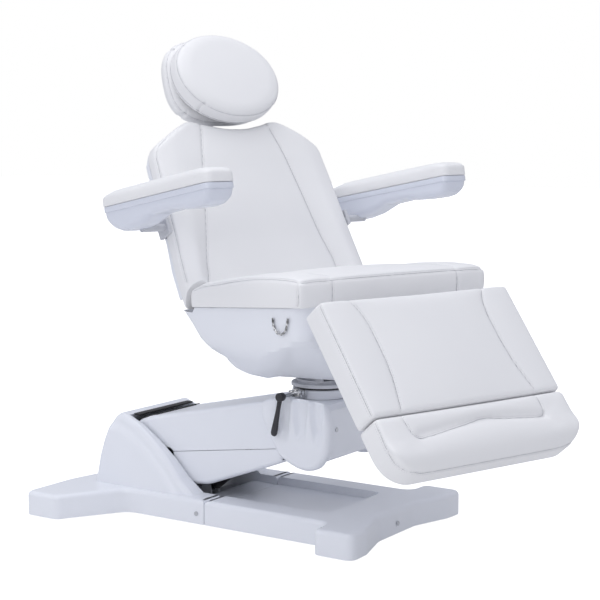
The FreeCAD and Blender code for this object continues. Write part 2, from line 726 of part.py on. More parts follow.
def back_frame():
    body = start_body("back_frame", BACK)
    ear = [(14, 0), (0, -13), (-13, 0), (-35, 14), (-35, 42), (-23, 42), (0, 13)]
    for low, high in both((184, 194)):
        slab(body, "YZ", low, high, ear)
    box(body, (-194, 194), (-35, -23), (22, 46))
    box(body, (-150, 150), (-35, -23), (396, 424))
    for x in (40, -40):
        disc(body, "XY", 390, 430, (x, -30), 7.4)
        disc(body, "XY", 385, 435, (x, -30), "6 + run_gap", hollow=True)
    for span in both((120, 150)):
        box(body, span, (-35, -23), (40, 400))
    crank = [(-35, 24), (-35, 40), (-23, 44), (12, 14), (15, -62), (-3, -62), (-14, 4)]
    slab(body, "YZ", 90, 100, crank)
    for low, high in ((-196, -182), (182, 196), (88, 102)):
        disc(body, "YZ", low, high, (0, 0), "hinge_pin + run_gap", hollow=True)
    return body


def back_shell():
    body = start_body("back_shell", BACK)
    outline = mirrored([(x - 6, z - 6 if z > 100 else z + 34) for x, z in BACK_OUTLINE])
    slab(body, "XZ", -37, -18, outline)
    soften(body, 6, lambda e: at_height(e, "y", -18))
    inner = mirrored([(x - 13, z - 13 if z > 100 else z + 36) for x, z in BACK_OUTLINE])
    slab(body, "XZ", -45, -22, inner, hollow=True)
    box(body, (-200, 200), (-50, -22.5), (0, 40), hollow=True)
    for span in both((30, 50)):
        box(body, span, (-40, -22), (440, 500), hollow=True)
    for span in both((178, 200)) + [(84, 106)]:
        box(body, span, (-24, -10), (0, 50), hollow=True)
    for span in both((240, 300)):
        box(body, span, (-40, -24), (188, 226), hollow=True)
    return body


def back_cushion():
    body = start_body("back_cushion", BACK)
    slab(body, "XZ", -91, -38, mirrored(BACK_OUTLINE))
    soften(body, 11, lambda e: at_height(e, "y", -91) and e.CenterOfMass.z > 0)
    panel = [(-222, 30), (222, 30), (112, 560), (-112, 560)]
    slab(body, "XZ", -95, -80, panel, hollow=True)
    under = [(-20, -32), (-34, -16), (-98, 50), (-140, 50), (-140, -60), (-20, -60)]
    slab(body, "YZ", -320, 320, under, hollow=True)
    return body


def arm_brackets():
    """On each side a plate behind the back, a cheek along its edge and the armrest's pin."""
    body = start_body("arm_brackets", BACK)
    for span in both((150, 302)):
        box(body, span, (-34, -26), (192, 222))
    for span in both((293, 302)):
        box(body, span, (-74, -26), (186, 228))
    for low, high in both((302, "armrest_x - 8")):
        disc(body, "YZ", low, high, (-58, 207.5), "armrest_pin")
    return body


# ---------------------------------------------------------------- armrests
def armrest_shell(label, side):
    body = start_body(label, armrest_frame(side))
    outer = [(104, 66), (104, 46), (90, 29), (58, 6), (-40, -3), (-120, -1), (-254, 19),
             (-352, 28), (-374, 40), (-379, 66)]
    slab(body, "YZ", "- armrest_half", "armrest_half", outer)
    half = value("armrest_half")
    soften(body, 8, lambda e: (at_height(e, "x", half) or at_height(e, "x", -half))
           and e.CenterOfMass.z < 60)
    inner = [(99, 80), (99, 48), (86, 33), (56, 11), (-40, 2), (-120, 4), (-254, 24),
             (-350, 33), (-369, 43), (-374, 80)]
    slab(body, "YZ", "wall - armrest_half", "armrest_half - wall", inner, hollow=True)
    spans = (("1 - armrest_half", "armrest_half - 8"), ("8 - armrest_half", "armrest_half - 1"))
    low, high = spans[0] if side > 0 else spans[1]
    disc(body, "YZ", low, high, (0, "armrest_pin + 9"), "armrest_pin + 9")
    return body


def armrest_boss_bore(body, side):
    """The pivot bore, opened from the side that faces the backrest."""
    spans = (("- armrest_half - 2", "15"), ("- 15", "armrest_half + 2"))
    low, high = spans[0] if side > 0 else spans[1]
    disc(body, "YZ", low, high, (0, 0), "armrest_pin + run_gap", hollow=True)


def armrest_pad(label, side):
    body = start_body(label, armrest_frame(side))
    outer = [(104, 68), (107, 84), (100, 98), (60, 102), (-330, 101), (-374, 97), (-385, 82),
             (-379, 68)]
    slab(body, "YZ", "- armrest_half - 2", "armrest_half + 2", outer)
    half = value("armrest_half") + 2
    soften(body, 9, lambda e: (at_height(e, "x", half) or at_height(e, "x", -half))
           and e.CenterOfMass.z > 75)
    return body


# ---------------------------------------------------------------- headrest
def headrest_stem():
    body = start_body("headrest_stem", BACK)
    for x in (40, -40):
        disc(body, "XY", 330, 500, (x, -30), 6)
    slab(body, "YZ", -50, 50, [(-37, 492), (54, 492), (54, 503), (-37, 503)])
    box(body, (-30, 30), (44, 54), (500, 662))
    ear = [(54, 622), (54, 662), (14, 658), (10, 636), (20, 628)]
    for low, high in both((20, 30)):
        slab(body, "YZ", low, high, ear)
    hinge = BACK.inverse().multVec(HEADREST.Base)
    disc(body, "YZ", -31, 31, (round(hinge.y, 4), round(hinge.z, 4)), "hinge_pin + run_gap",
         hollow=True)
    return body


def oval(body, y_span, half, low, high, radius):
    """A rounded block standing across the headrest frame's y axis."""
    box(body, (minus(half), half), y_span, (low, high))
    soften(body, radius, lambda e: runs_along(e, "y"))


def headrest_plate():
    body = start_body("headrest_plate", HEADREST)
    oval(body, (-30, -20), "126", "-74", "80", 60)
    for low, high in both((33, 43)):
        slab(body, "YZ", low, high, [(-24, -16), (-24, 16), (4, 9), (9, 0), (4, -9)])
    disc(body, "YZ", -43, 43, (0, 0), "hinge_pin")
    return body


def headrest_back_cushion():
    body = start_body("headrest_back_cushion", HEADREST)
    oval(body, (-100, -32), "163", "-108", "130", 112)
    soften(body, 24, lambda e: at_height(e, "y", -32))
    return body


def headrest_pillow():
    """Round pillow leaned against the upper half of the cushion behind it."""
    lean = value("pillow_angle") - value("headrest_angle")
    place = shifted(HEADREST, 0, "- pillow_ahead", "pillow_up", lean)
    body = start_body("headrest_pillow", place)
    oval(body, (-28, 34), "pillow_half", "- pillow_tall", "pillow_tall", 131)
    soften(body, 16, lambda e: at_height(e, "y", -28))
    soften(body, 20, lambda e: at_height(e, "y", 34))
    # flattened where it meets that cushion
    slope = math.tan(math.radians(-lean))
    face = value("pillow_ahead - cushion_front") / math.cos(math.radians(lean))
    behind = [(round(face - slope * z, 3), z) for z in (-200, 200)]
    slab(body, "YZ", -200, 200, behind + [(160, 200), (160, -200)], hollow=True)
    return body


# ---------------------------------------------------------------- leg rest and footrest
def leg_frame():
    body = start_body("leg_frame", LEG)
    rail = [(12, -8), (12, 6), (2, 12), (-13, 6), (-30, 5), (-300, 5), (-300, -16),
            (-30, -16), (0, -13)]
    for low, high in both((184, 194)):
        slab(body, "YZ", low, high, rail)
        disc(body, "YZ", low, high, (0, 0), "hinge_pin + run_gap", hollow=True)
    for low_y, high_y in ((-66, -40), (-290, -264)):
        box(body, (-184, 184), (low_y, high_y), (-16, -6))
    slab(body, "YZ", -100, -90, [(-62, -12), (-44, -12), (-30, -36), (-30, -53), (-50, -53)])
    return body


def leg_board():
    body = start_body("leg_board", LEG)
    box(body, (-288, 288), ("- leg_long - 9", -16), (7, 15))
    return body


def leg_cushion():
    body = start_body("leg_cushion", LEG)
    box(body, ("- seat_half", "seat_half"), ("- leg_long - 12", -13), (16, 80))
    soften(body, 14, lambda e: not at_height(e, "z", 16))
    return body


def foot_rails():
    body = start_body("foot_rails", LEG)
    for span in both((120, 140)):
        box(body, span, (-436, -70), (-4, 4))
    return body


def foot_board():
    body = start_body("foot_board", LEG)
    box(body, (-280, 280), ("10 - foot_end", "- foot_start - 4"), (5, 14))
    soften(body, 60, lambda e: runs_along(e, "z") and e.Vertexes[0].Point.y < -400)
    return body


def foot_cushion():
    body = start_body("foot_cushion", LEG)
    box(body, ("2 - seat_half", "seat_half - 2"), ("- foot_end", "- foot_start"), (15, 88))
    soften(body, 70, lambda e: runs_along(e, "z") and e.Vertexes[0].Point.y < -400)
    soften(body, 18, lambda e: at_height(e, "z", 88))
    return body


# ---------------------------------------------------------------- electric actuators
def actuator(name, parent, x, y, z, lean, inside, reach, length, radius):
    """Motor tube with a rear eye, and the rod that slides out of it along local +y."""
    frame = shifted(parent, x, y, z, lean)
    motor = start_body(name + "_motor", frame)
    slab(motor, "YZ", -8, 8, [(-9, -6), (-9, 6), (0, 10), (26, 10), (26, -10), (0, -10)])
    disc(motor, "XZ", 22, length, (0, 0), radius)
    disc(motor, "YZ", -9, 9, (0, 0), "5 + run_gap", hollow=True)
    disc(motor, "XZ", 26, length + 1, (0, 0), "7 + run_gap", hollow=True)
    rod = start_body(name + "_rod", frame)
    disc(rod, "XZ", inside, reach, (0, 0), 7)
    return [motor, rod]


# ---------------------------------------------------------------- assembly
PARTS = [base_front_cover(), base_rear_cover(), base_frame(), leveling_feet(), cover_screws(),
         control_box(),
         arm_shafts("arm_rear_shafts", "arm_y", "arm_z"),
         lift_arm_frame(), levelling_link(), arm_upper_cover(), arm_lower_cover(), slot_boot(),
         head_frame(), head_side_cover("head_cover_left", 1),
         head_side_cover("head_cover_right", -1), head_front_cover(), head_screw(),
         swivel_collar(), swivel_bearing(), clamp_block(),
         arm_shafts("arm_front_shafts", "head_y", "head_z"),
         plain_shaft("lock_stud", (-159.5, -101), ("lever_y", "lever_z"), 5),
         lock_lever(), turntable_plate(), tilt_bracket(),
         swivel_spindle(),
         plain_shaft("tilt_axle", (-64, 64), ("tilt_y", "tilt_z"), 10, TOP),
         seat_frame(), seat_shell(), seat_cushion(), seat_hooks(),
         seat_hinge_rods(),
         back_frame(), back_shell(), back_cushion(), arm_brackets()]
for name, side in (("left", 1), ("right", -1)):
    shell = armrest_shell(f"armrest_{name}_shell", side)
    armrest_boss_bore(shell, side)
    PARTS += [shell, armrest_pad(f"armrest_{name}_pad", side)]
PARTS += [headrest_stem(), headrest_plate(), headrest_back_cushion(), headrest_pillow(),
          leg_frame(), leg_board(), leg_cushion(), foot_rails(), foot_board(), foot_cushion()]
PARTS += actuator("lift", GROUND, 0, 360, 45, 141.2, 60, 277, 190, 18)
PARTS += actuator("tilt", TOP, 0, -200, 520, -35.2, 40, 192, 110, 15)
PARTS += actuator("back", TOP, 95, -90, 505, 0.2, 64, 264, 165, 16)
PARTS += actuator("leg", TOP, -95, -20, 520, 177.4, 40, 238, 150, 16)

doc.recompute()
for item in doc.Objects:
    if "Invalid" in item.State or "Error" in item.State:
        raise RuntimeError(f"{item.Name} ({item.Label}): {item.State}")
for part in PARTS:
    if part.Shape.isNull() or not part.Shape.isValid():
        raise RuntimeError(f"{part.Label}: bad shape")
    part.Shape.exportStep(f"parts/{part.Label}.step")
print(len(PARTS), "parts exported")
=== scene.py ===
import json
import math
from itertools import product

import bmesh
import bpy
import numpy as np
from mathutils import Matrix, Vector, kdtree
from mathutils.bvhtree import BVHTree


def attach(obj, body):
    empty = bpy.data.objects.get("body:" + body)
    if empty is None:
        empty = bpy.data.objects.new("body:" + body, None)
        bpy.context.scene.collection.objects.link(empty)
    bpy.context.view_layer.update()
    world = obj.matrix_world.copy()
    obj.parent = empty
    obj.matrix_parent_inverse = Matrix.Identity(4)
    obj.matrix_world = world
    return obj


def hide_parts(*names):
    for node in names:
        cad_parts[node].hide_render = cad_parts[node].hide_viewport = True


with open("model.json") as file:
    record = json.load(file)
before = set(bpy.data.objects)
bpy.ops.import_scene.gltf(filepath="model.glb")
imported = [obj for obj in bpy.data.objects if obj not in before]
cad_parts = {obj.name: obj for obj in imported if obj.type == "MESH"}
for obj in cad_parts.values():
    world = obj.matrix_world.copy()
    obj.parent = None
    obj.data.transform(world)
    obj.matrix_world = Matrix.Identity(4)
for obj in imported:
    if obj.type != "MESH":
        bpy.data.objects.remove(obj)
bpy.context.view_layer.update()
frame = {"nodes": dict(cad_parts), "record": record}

MM = 0.001
TINY = 1e-9
SIDES = (-1, 1)
X_AXIS, Y_AXIS, Z_AXIS = Matrix.Identity(3)
SCENE = bpy.context.scene

# ======== frames
# Shapes are drawn in mm in these frames: x sideways, y to the rear, z up.
JOINTS = {joint["name"]: joint for joint in frame["record"]["behaviour"]["joints"]}
PIVOTS = {name: joint.get("pos_m") for name, joint in JOINTS.items()}
SIDEWAYS = -Vector(JOINTS["seat_tilt"]["axis"]).normalized()
UP_BACK = Vector(JOINTS["headrest_height"]["axis"]).normalized()
DOWN_LEG = Vector(JOINTS["foot_extend"]["axis"]).normalized()
HEADREST_ANGLE = 72.0
ARMREST_RISE = 9.6
PILLOW_ANGLE = 58.0
PILLOW_Y, PILLOW_Z = -136.6, 2.9


def axes(origin, x, y, z):
    """A frame in the row's metres from its origin and unit axes; points in it are in mm."""
    matrix = Matrix((x, y, z)).transposed().to_4x4()
    matrix.translation = Vector(origin)
    return matrix @ ROW


def leaned(origin, degrees):
    """The top's axes at a point, leaned back by an angle."""
    up = Matrix.Rotation(math.radians(degrees), 3, SIDEWAYS) @ Z_AXIS
    return axes(origin, SIDEWAYS, up.cross(SIDEWAYS), up)


ROW = Matrix.Diagonal((MM, MM, MM, 1.0))
TOP = leaned((0, 0, 0), 0)
BACK = axes(PIVOTS["back_recline"], SIDEWAYS, UP_BACK.cross(SIDEWAYS), UP_BACK)
LEG = axes(PIVOTS["leg_raise"], SIDEWAYS, -DOWN_LEG, SIDEWAYS.cross(-DOWN_LEG))
HEADREST = leaned(PIVOTS["headrest_tilt"], HEADREST_ANGLE - 90)
PILLOW = leaned(HEADREST @ Vector((0, PILLOW_Y, PILLOW_Z)), PILLOW_ANGLE - 90)
ARMREST = {side: leaned(PIVOTS[f"armrest_{side}_fold"], -ARMREST_RISE)
           for side in ("left", "right")}


# ======== materials
def wire(tree, target, values):
    """Set a node's inputs: an output socket is linked, anything else is a value."""
    for key, value in values.items():
        if isinstance(value, bpy.types.NodeSocket):
            tree.links.new(value, target.inputs[key])
        else:
            target.inputs[key].default_value = value
    return target


def node(tree, kind, values):
    return wire(tree, tree.nodes.new("ShaderNode" + kind), values)


def drive(tree, values):
    wire(tree, tree.nodes["Principled BSDF"], values)


def noise(tree, place, scale, detail, roughness=0.5):
    values = {"Vector": place, "Scale": scale, "Detail": detail, "Roughness": roughness}
    return node(tree, "TexNoise", values).outputs["Fac"]


def shader(name, color, roughness, metallic=0.0, coat=0.0, sheen=0.0):
    """A node material with its tree and object coordinates."""
    material = bpy.data.materials.new(name)
    material.use_nodes = True
    tree = material.node_tree
    drive(tree, {"Base Color": (*color, 1), "Roughness": roughness, "Metallic": metallic,
                 "Coat Weight": coat, "Coat Roughness": 0.25, "Sheen Weight": sheen})
    return material, tree, node(tree, "TexCoord", {}).outputs["Object"]


def vary(tree, tones=None, gloss=None, bumps=()):
    """Drive a shader: base colour and roughness by (factor, low, high), and bumps in series
    by (height, strength, distance in metres)."""
    if tones:
        factor, low, high = tones
        mix = tree.nodes.new("ShaderNodeMix")
        mix.data_type = "RGBA"
        wire(tree, mix, {0: factor, 6: (*low, 1), 7: (*high, 1)})
        drive(tree, {"Base Color": mix.outputs[2]})
    if gloss:
        ramp = node(tree, "MapRange", dict(zip(("Value", "To Min", "To Max"), gloss)))
        drive(tree, {"Roughness": ramp.outputs["Result"]})
    chained = {}
    for height, strength, distance in bumps:
        bump = node(tree, "Bump", {"Height": height, "Strength": strength,
                                   "Distance": distance, **chained})
        chained = {"Normal": bump.outputs["Normal"]}
    drive(tree, chained)


def leatherette():
    """Soft white coated fabric: pebble grain, faint creases, low uneven sheen."""
    material, tree, place = shader(
        "white_leatherette", (0.86, 0.86, 0.87), 0.45, coat=0.06, sheen=0.08)
    cells = tree.nodes.new("ShaderNodeTexVoronoi")
    cells.feature = "SMOOTH_F1"
    wire(tree, cells, {"Scale": 720.0, "Vector": place})
    creases = noise(tree, place, 34.0, 5.0, 0.6)
    broad = noise(tree, place, 5.0, 2.0)
    vary(tree, (broad, (0.845, 0.845, 0.86), (0.885, 0.885, 0.89)), (creases, 0.38, 0.52),
         [(creases, 0.18, 0.0012), (cells.outputs["Distance"], 0.22, 0.0004)])
    return material


def moulded(name, low, high, roughness):
    """Satin moulded plastic: fine spark grain, faint flow tone and rub-brightened gloss."""
    material, tree, place = shader(name, high, roughness, coat=0.12)
    grain = noise(tree, place, 900.0, 2.0)
    flow = noise(tree, place, 2.5, 3.0)
    vary(tree, (flow, low, high), (flow, roughness - 0.05, roughness + 0.06),
         [(grain, 0.08, 0.0002)])
    return material


def painted(name, color, roughness):
    """Powder coat on steel: orange-peel skin."""
    material, tree, place = shader(name, color, roughness)
    peel = noise(tree, place, 420.0, 3.0)
    tone = noise(tree, place, 6.0, 2.0)
    vary(tree, (tone, [0.93 * channel for channel in color], color),
         (tone, roughness - 0.05, roughness + 0.08), [(peel, 0.15, 0.0003)])
    return material


def metal(name, color, roughness, brushed):
    """Bare steel with fine turned lines, or plating whose colour has dark and bright patches of
    painted reflection.
    """
    material, tree, place = shader(name, color, roughness, metallic=1.0)
    scale = (1.0, 30.0, 30.0) if brushed else (6.0, 6.0, 6.0)
    stretched = node(tree, "Mapping", {"Vector": place, "Scale": scale}).outputs["Vector"]
    lines = noise(tree, stretched, 40.0, 4.0)
    vary(tree, None, (lines, roughness * 0.7, roughness * 1.4), [(lines, 0.06, 0.0002)])
    if not brushed:
        # Plating: the dark and bright patches in its colour are painted reflection.
        reflection_patches = node(tree, "MapRange", {"Value": noise(tree, place, 130.0, 1.0),
                                          "From Min": 0.42, "From Max": 0.58})
        vary(tree, (reflection_patches.outputs["Result"], [0.22] * 3, [0.8] * 3))
    return material


def dark(name, color, roughness, grain):
    """Black plastic or rubber with a visible grain and dusty roughness changes."""
    material, tree, place = shader(name, color, roughness)
    fine = noise(tree, place, grain, 3.0)
    dust = noise(tree, place, 22.0, 4.0)
    vary(tree, (dust, color, [channel * 1.6 + 0.006 for channel in color]),
         (dust, roughness - 0.08, roughness + 0.1), [(fine, 0.2, 0.0003)])
    return material


MATERIALS = {  # by the record's material slots
    "upholstery": leatherette(),
    "cover_plastic": moulded("cover_satin", (0.83, 0.85, 0.905), (0.87, 0.89, 0.94), 0.3),
    "board_white": moulded("board_white", (0.80, 0.80, 0.83), (0.85, 0.85, 0.88), 0.38),
    "frame_steel": painted("powder_coat_grey", (0.62, 0.63, 0.67), 0.4),
    "turntable_metal": painted("powder_coat_light", (0.7, 0.71, 0.75), 0.32),
    "bright_steel": metal("ground_steel", (0.56, 0.57, 0.6), 0.3, True),
    "chrome": metal("chrome_plate", (0.5, 0.5, 0.53), 0.12, False),
    "black_plastic": dark("black_plastic", (0.018, 0.018, 0.022), 0.38, 600.0),
    "black_rubber": dark("black_rubber", (0.012, 0.012, 0.013), 0.6, 350.0)}
# Darker, bluer copy of the satin cover plastic for the armrest trays: painted shade for the
# shade the trays sit in.
SHADED_TRAY_PLASTIC = moulded("tray_satin_painted_shade", (0.70, 0.73, 0.82), (0.74, 0.77, 0.855), 0.24)
THREAD = painted("sewing_thread", (0.55, 0.55, 0.6), 0.7)
# Dark cord for the seam valleys: painted shade, a dark line standing in for the shadow in each
# seam.
SEAM_SHADE = painted("seam_shadow", (0.36, 0.36, 0.4), 0.8)


def dress_cad():
    """Every carried CAD node takes the detailed material of its slot."""
    for entry in frame["record"]["subparts"]:
        mesh = frame["nodes"][entry["node"]].data
        mesh.materials.clear()
        mesh.materials.append(MATERIALS[entry["material_slot"]])
        for polygon in mesh.polygons:
            polygon.material_index = 0


# ======== mesh helpers
def mesh_object(name, points, faces, matrix, material):
    """A smooth mesh from mm points in a local frame, placed in the row frame."""
    mesh = bpy.data.meshes.new(name)
    mesh.from_pydata([matrix @ Vector(point) for point in points], [], faces)
    mesh.materials.append(material)
    mesh.shade_smooth()
    mesh.update()
    item = bpy.data.objects.new(name, mesh)
    SCENE.collection.objects.link(item)
    return item


def finish(item, body, *nodes, slot="cover_plastic"):
    """Tie a piece to its body; it stands in for its CAD nodes, if any. The slot argument is not
    used.
    """
    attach(item, body)
    if nodes:
        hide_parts(*nodes)


def bake(item):
    """Apply the modifiers to the mesh."""
    graph = bpy.context.evaluated_depsgraph_get()
    baked = bpy.data.meshes.new_from_object(item.evaluated_get(graph))
    item.modifiers.clear()
    item.data = baked


def reshape(points, warp):
    """Points moved by a function of their x, y and z."""
    return np.stack(warp(*points.T), axis=1)


def box_grid(low, high, cell):
    """Points and quads of a box surface, divided into even cells, with shared corners."""
    counts = np.maximum(2, np.round((high - low) / cell).astype(int))
    index, faces = {}, []
    for axis in range(3):
        u, v = (axis + 1) % 3, (axis + 2) % 3
        for end, i, j in product((0, int(counts[axis])), range(counts[u]), range(counts[v])):
            corners = []
            for du, dv in ((0, 0), (1, 0), (1, 1), (0, 1)):
                key = [0, 0, 0]
                key[axis], key[u], key[v] = end, i + du, j + dv
                corners.append(index.setdefault(tuple(key), len(index)))
            faces.append(corners if end else corners[::-1])
    return low + (high - low) * np.array(list(index)) / counts, faces


def round_box(points, low, high, radius):
    """Pull the points of a box surface onto a box with rounded edges; radius per axis."""
    inner = np.clip(points, low + radius, high - radius)
    offset = (points - inner) / radius
    length = np.linalg.norm(offset, axis=1)
    reach = np.max(np.abs(offset), axis=1)
    scale = np.where(length > TINY, reach / np.maximum(length, TINY), 0.0)
    return inner + offset * scale[:, None] * radius


def ease(value, start, end):
    """0 before the start, 1 after the end, smooth between."""
    t = np.clip((value - start) / (end - start), 0, 1)
    return t * t * (3 - 2 * t)


def curve_value(value, stations, levels):
    """Smooth monotone blend through stations: interpolation softened by averaging."""
    spread = 0.012 * (stations[-1] - stations[0])
    shifts = (-2, -1, 0, 1, 2)
    total = sum(np.interp(value + shift * spread, stations, levels) for shift in shifts)
    return total / len(shifts)


def catmull(a, b, c, d, t):
    """The point at t between b and c on a smooth curve through all four."""
    return 0.5 * ((2 * b) + (c - a) * t + (2 * a - 5 * b + 4 * c - d) * t * t
                  + (3 * b - 3 * c + d - a) * t * t * t)


def densify(path, step=3.0):
    """Even points along a smoothed polyline."""
    knots = [Vector(p) for p in path]
    last = len(knots) - 1
    dense = []
    for k in range(last):
        before, b, c, after = (knots[min(max(k + n, 0), last)] for n in (-1, 0, 1, 2))
        count = max(2, int((c - b).length / step))
        dense += [catmull(before, b, c, after, n / count) for n in range(count)]
    return [*dense, knots[-1]]


def averaged(vectors, passes=4):
    """The same row of vectors with its jitter averaged out, ends kept."""
    for _ in range(passes):
        inner = [(vectors[k - 1] + 2 * vectors[k] + vectors[k + 1]) / 4
                 for k in range(1, len(vectors) - 1)]
        vectors = [vectors[0], *inner, vectors[-1]]
    return vectors


def snap(item, seams, matrix):
    """Drop local paths on the surface: even row-frame points with surface normals."""
    tree = surface_tree(item)
    paths = []
    for seam in seams:
        places = averaged([tree.find_nearest(matrix @ spot)[0] for spot in densify(seam)])
        landed = [tree.find_nearest(place)[:2] for place in places]
        normals = averaged([normal for _, normal in landed], 8)
        paths.append([(spot, up.normalized()) for (spot, _), up in zip(landed, normals)])
    return paths


def settle(place, normal, tree):
    """Where a point just off the cover lands when pushed straight in."""
    reach = 8 * MM
    spot, up, _, _ = tree.ray_cast(place + normal * reach, -normal, 3 * reach)
    return (spot, up) if spot is not None else tree.find_nearest(place)[:2]


def surface_tree(item):
    mesh = item.data
    return BVHTree.FromPolygons([v.co for v in mesh.vertices],
                                [p.vertices for p in mesh.polygons])


def path_distance(item, paths):
    """How many mm each vertex is from the nearest path point."""
    samples = [place for path in paths for place, _ in path]
    tree = kdtree.KDTree(len(samples))
    for index, place in enumerate(samples):
        tree.insert(place, index)
    tree.balance()
    return np.array([tree.find(v.co)[2] for v in item.data.vertices]) / MM


def read_vectors(rows, attribute):
    flat = np.empty(len(rows) * 3)
    rows.foreach_get(attribute, flat)
    return flat.reshape(-1, 3)


def coordinates(item):
    return read_vectors(item.data.vertices, "co")


def move_to(item, points):
    item.data.vertices.foreach_set("co", np.ascontiguousarray(points).ravel())
    item.data.update()


# ======== soft goods
CLOTH = {"quality": 5, "mass": 0.3, "tension_stiffness": 25, "compression_stiffness": 25,
         "shear_stiffness": 8, "bending_stiffness": 1.2, "air_damping": 4,
         "use_pressure": True, "vertex_group_mass": "held", "pin_stiffness": 4}
CLOTH_FRAMES = 18
LEAST_HOLD = 0.02


def inflate(item, held, pressure, cap):
    """Let the cover puff out under pressure, held along its seams and its board."""
    start = coordinates(item)
    group = item.vertex_groups.new(name=CLOTH["vertex_group_mass"])
    for index in np.nonzero(held > LEAST_HOLD)[0]:
        group.add([int(index)], float(min(1.0, held[index])), "REPLACE")
    cloth = item.modifiers.new("cloth", "CLOTH")
    for setting, value in CLOTH.items():
        setattr(cloth.settings, setting, value)
    cloth.settings.uniform_pressure_force = pressure
    cloth.settings.effector_weights.gravity = 0
    cloth.collision_settings.use_collision = False
    cloth.point_cache.frame_start = 1
    cloth.point_cache.frame_end = CLOTH_FRAMES
    for number in range(1, CLOTH_FRAMES + 1):
        SCENE.frame_set(number)
    bake(item)
    SCENE.frame_set(1)
    moved = coordinates(item) - start
    length = np.linalg.norm(moved, axis=1)
    limit = cap * MM
    kept = limit * np.tanh(length / limit) / np.maximum(length, TINY)
    kept = np.where(length > TINY, kept, 1)
    move_to(item, start + moved * kept[:, None])
    item.vertex_groups.clear()


def sew(item, paths, depth, width):
    """Press a narrow valley, with a soft shoulder, into the cover along each seam."""
    distance = path_distance(item, paths)
    valley = depth * (np.exp(-(distance / width) ** 2)
                      + 0.25 * np.exp(-(distance / (4 * width)) ** 2))
    pucker = 0.35 * np.exp(-((distance - 2.6 * width) / (1.4 * width)) ** 2)
    points = coordinates(item)
    x, y, z = points.T
    ripple = np.sin(x * 410) * np.sin(y * 377 + z * 433)
    push = (pucker * ripple - valley) * MM
    normals = read_vectors(item.data.vertex_normals, "vector")
    move_to(item, points + normals * push[:, None])


def beside(path, offset):
    """A row of points shifted sideways from a seam."""
    last = len(path) - 1
    row = []
    for index, (place, normal) in enumerate(path):
        along = path[min(index + 3, last)][0] - path[max(index - 3, 0)][0]
        row.append(place + along.normalized().cross(normal).normalized() * offset * MM)
    return row


def stitch_rows(name, tree, paths, offsets, material, pitch=6.5, length=4.6, radius=0.45):
    """Rows of short lozenges beside each seam, as one mesh on the cover."""
    points, faces = [], []
    for path, offset in product(paths, offsets):
        row = beside(path, offset)
        steps = [(b - a).length / MM for a, b in zip(row, row[1:])]
        travel = np.concatenate([[0.0], np.cumsum(steps)])
        landed = [settle(spot, normal, tree) for spot, (_, normal) in zip(row, path)]
        flat = np.array([tuple(spot) for spot in averaged([spot for spot, _ in landed])])
        for start in np.arange(1.0, travel[-1] - length, pitch):
            ends = []
            for distance in (start, start + length):
                spot = [np.interp(distance, travel, flat[:, axis]) for axis in range(3)]
                nearest = int(np.searchsorted(travel, distance).clip(0, len(row) - 1))
                ends.append((Vector(spot), landed[nearest][1]))
            add_stitch(points, faces, *ends, radius)
    return mesh_object(name, points, faces, Matrix(), material)


def add_stitch(points, faces, begin, end, radius):
    """One thread stitch: a four-sided lozenge lying on the cover."""
    (a, up), (b, _) = begin, end
    side = (b - a).normalized().cross(up).normalized() * radius * MM
    lift = up * radius * MM
    base = len(points)
    middle = (a + b) / 2
    ring = [middle + side, middle + lift * 1.3, middle - side, middle - lift * 0.6]
    points.extend([a, *ring, b])
    for k in range(4):
        here, after = base + 1 + k, base + 1 + (k + 1) % 4
        faces.append((base, here, after))
        faces.append((base + 5, after, here))


def cushion(name, matrix, low, high, cell, radius, warp, seams, body, node_name, held_at,
            pressure=3.0, cap=5.0, depth=3.2, width=2.8, rows=(-4.2, 4.2)):
    """A sewn cushion: rounded box, warped to shape, puffed by cloth, then seamed.

    held_at says where the cover is glued down; rows are the stitches' offsets from a seam.
    """
    low, high, radius = (np.array(sizes, float) for sizes in (low, high, radius))
    points, faces = box_grid(low, high, cell)
    points = round_box(points, low, high, radius)
    glued = held_at(*points.T).astype(float)
    item = mesh_object(name, reshape(points, warp), faces, matrix, MATERIALS["upholstery"])
    distance = path_distance(item, snap(item, seams, matrix))
    sewn = np.exp(-(distance / (1.1 * cell)) ** 2)
    inflate(item, np.maximum(glued, sewn), pressure, cap)
    item.modifiers.new("fine", "SUBSURF").levels = 1
    bake(item)
    paths = snap(item, seams, matrix)
    sew(item, paths, depth, width)
    item.data.shade_smooth()
    finish(item, body, node_name, slot="upholstery")
    if rows:
        tree = surface_tree(item)
        thread = stitch_rows(name + "_stitches", tree, paths, rows, THREAD)
        # The cord along each seam is painted shade: a dark line where the seam valley falls
        # into shadow.
        seam_shade_cord = stitch_rows(name + "_seam_shade", tree, paths, (0.0,), SEAM_SHADE, 2.4, 3.6, 0.7)
        finish(thread, body, slot="upholstery")
        finish(seam_shade_cord, body, slot="upholstery")


# ---- shared shaping
def side_swell(x, part, half, amount):
    """Boxing bulges a little between its two edges."""
    bulge = np.sin(np.clip(part, 0, 1) * math.pi)
    return amount * bulge * np.sign(x) * ease(np.abs(x), half - 30, half)


def both_hands(*paths):
    """Paths drawn on the +x side, given for both sides."""
    return [[(side * x, y, z) for x, y, z in path] for side in SIDES for path in paths]


def arch(left, *middle):
    """A path that runs from the left side over to its mirror image on the right."""
    return [*left, *middle, *[(-x, y, z) for x, y, z in reversed(left)]]


def ring(centre, u, v, count, power=1.0):
    """Points round a centre on two half axes; a power under 1 squares the circle up."""
    def reach(value):
        return math.copysign(abs(value) ** power, value)

    angles = [2 * math.pi * n / count for n in range(count)]
    return [centre + u * reach(math.cos(a)) + v * reach(math.sin(a)) for a in angles]


# ---- seat
SEAT_HALF, SEAT_SEAM, SEAT_WING, SEAT_FRONT, SEAT_THICK = 299, 200, 98, -288, 60
SEAT_TOP = ([-286, -268, -200, -100, 10, 110, 158], [672, 678, 678, 670, 653, 636, 618])
SEAT_UNDER = ([-283, -262, 120, 160], [607.5, 606.5, 573.5, 570.5])


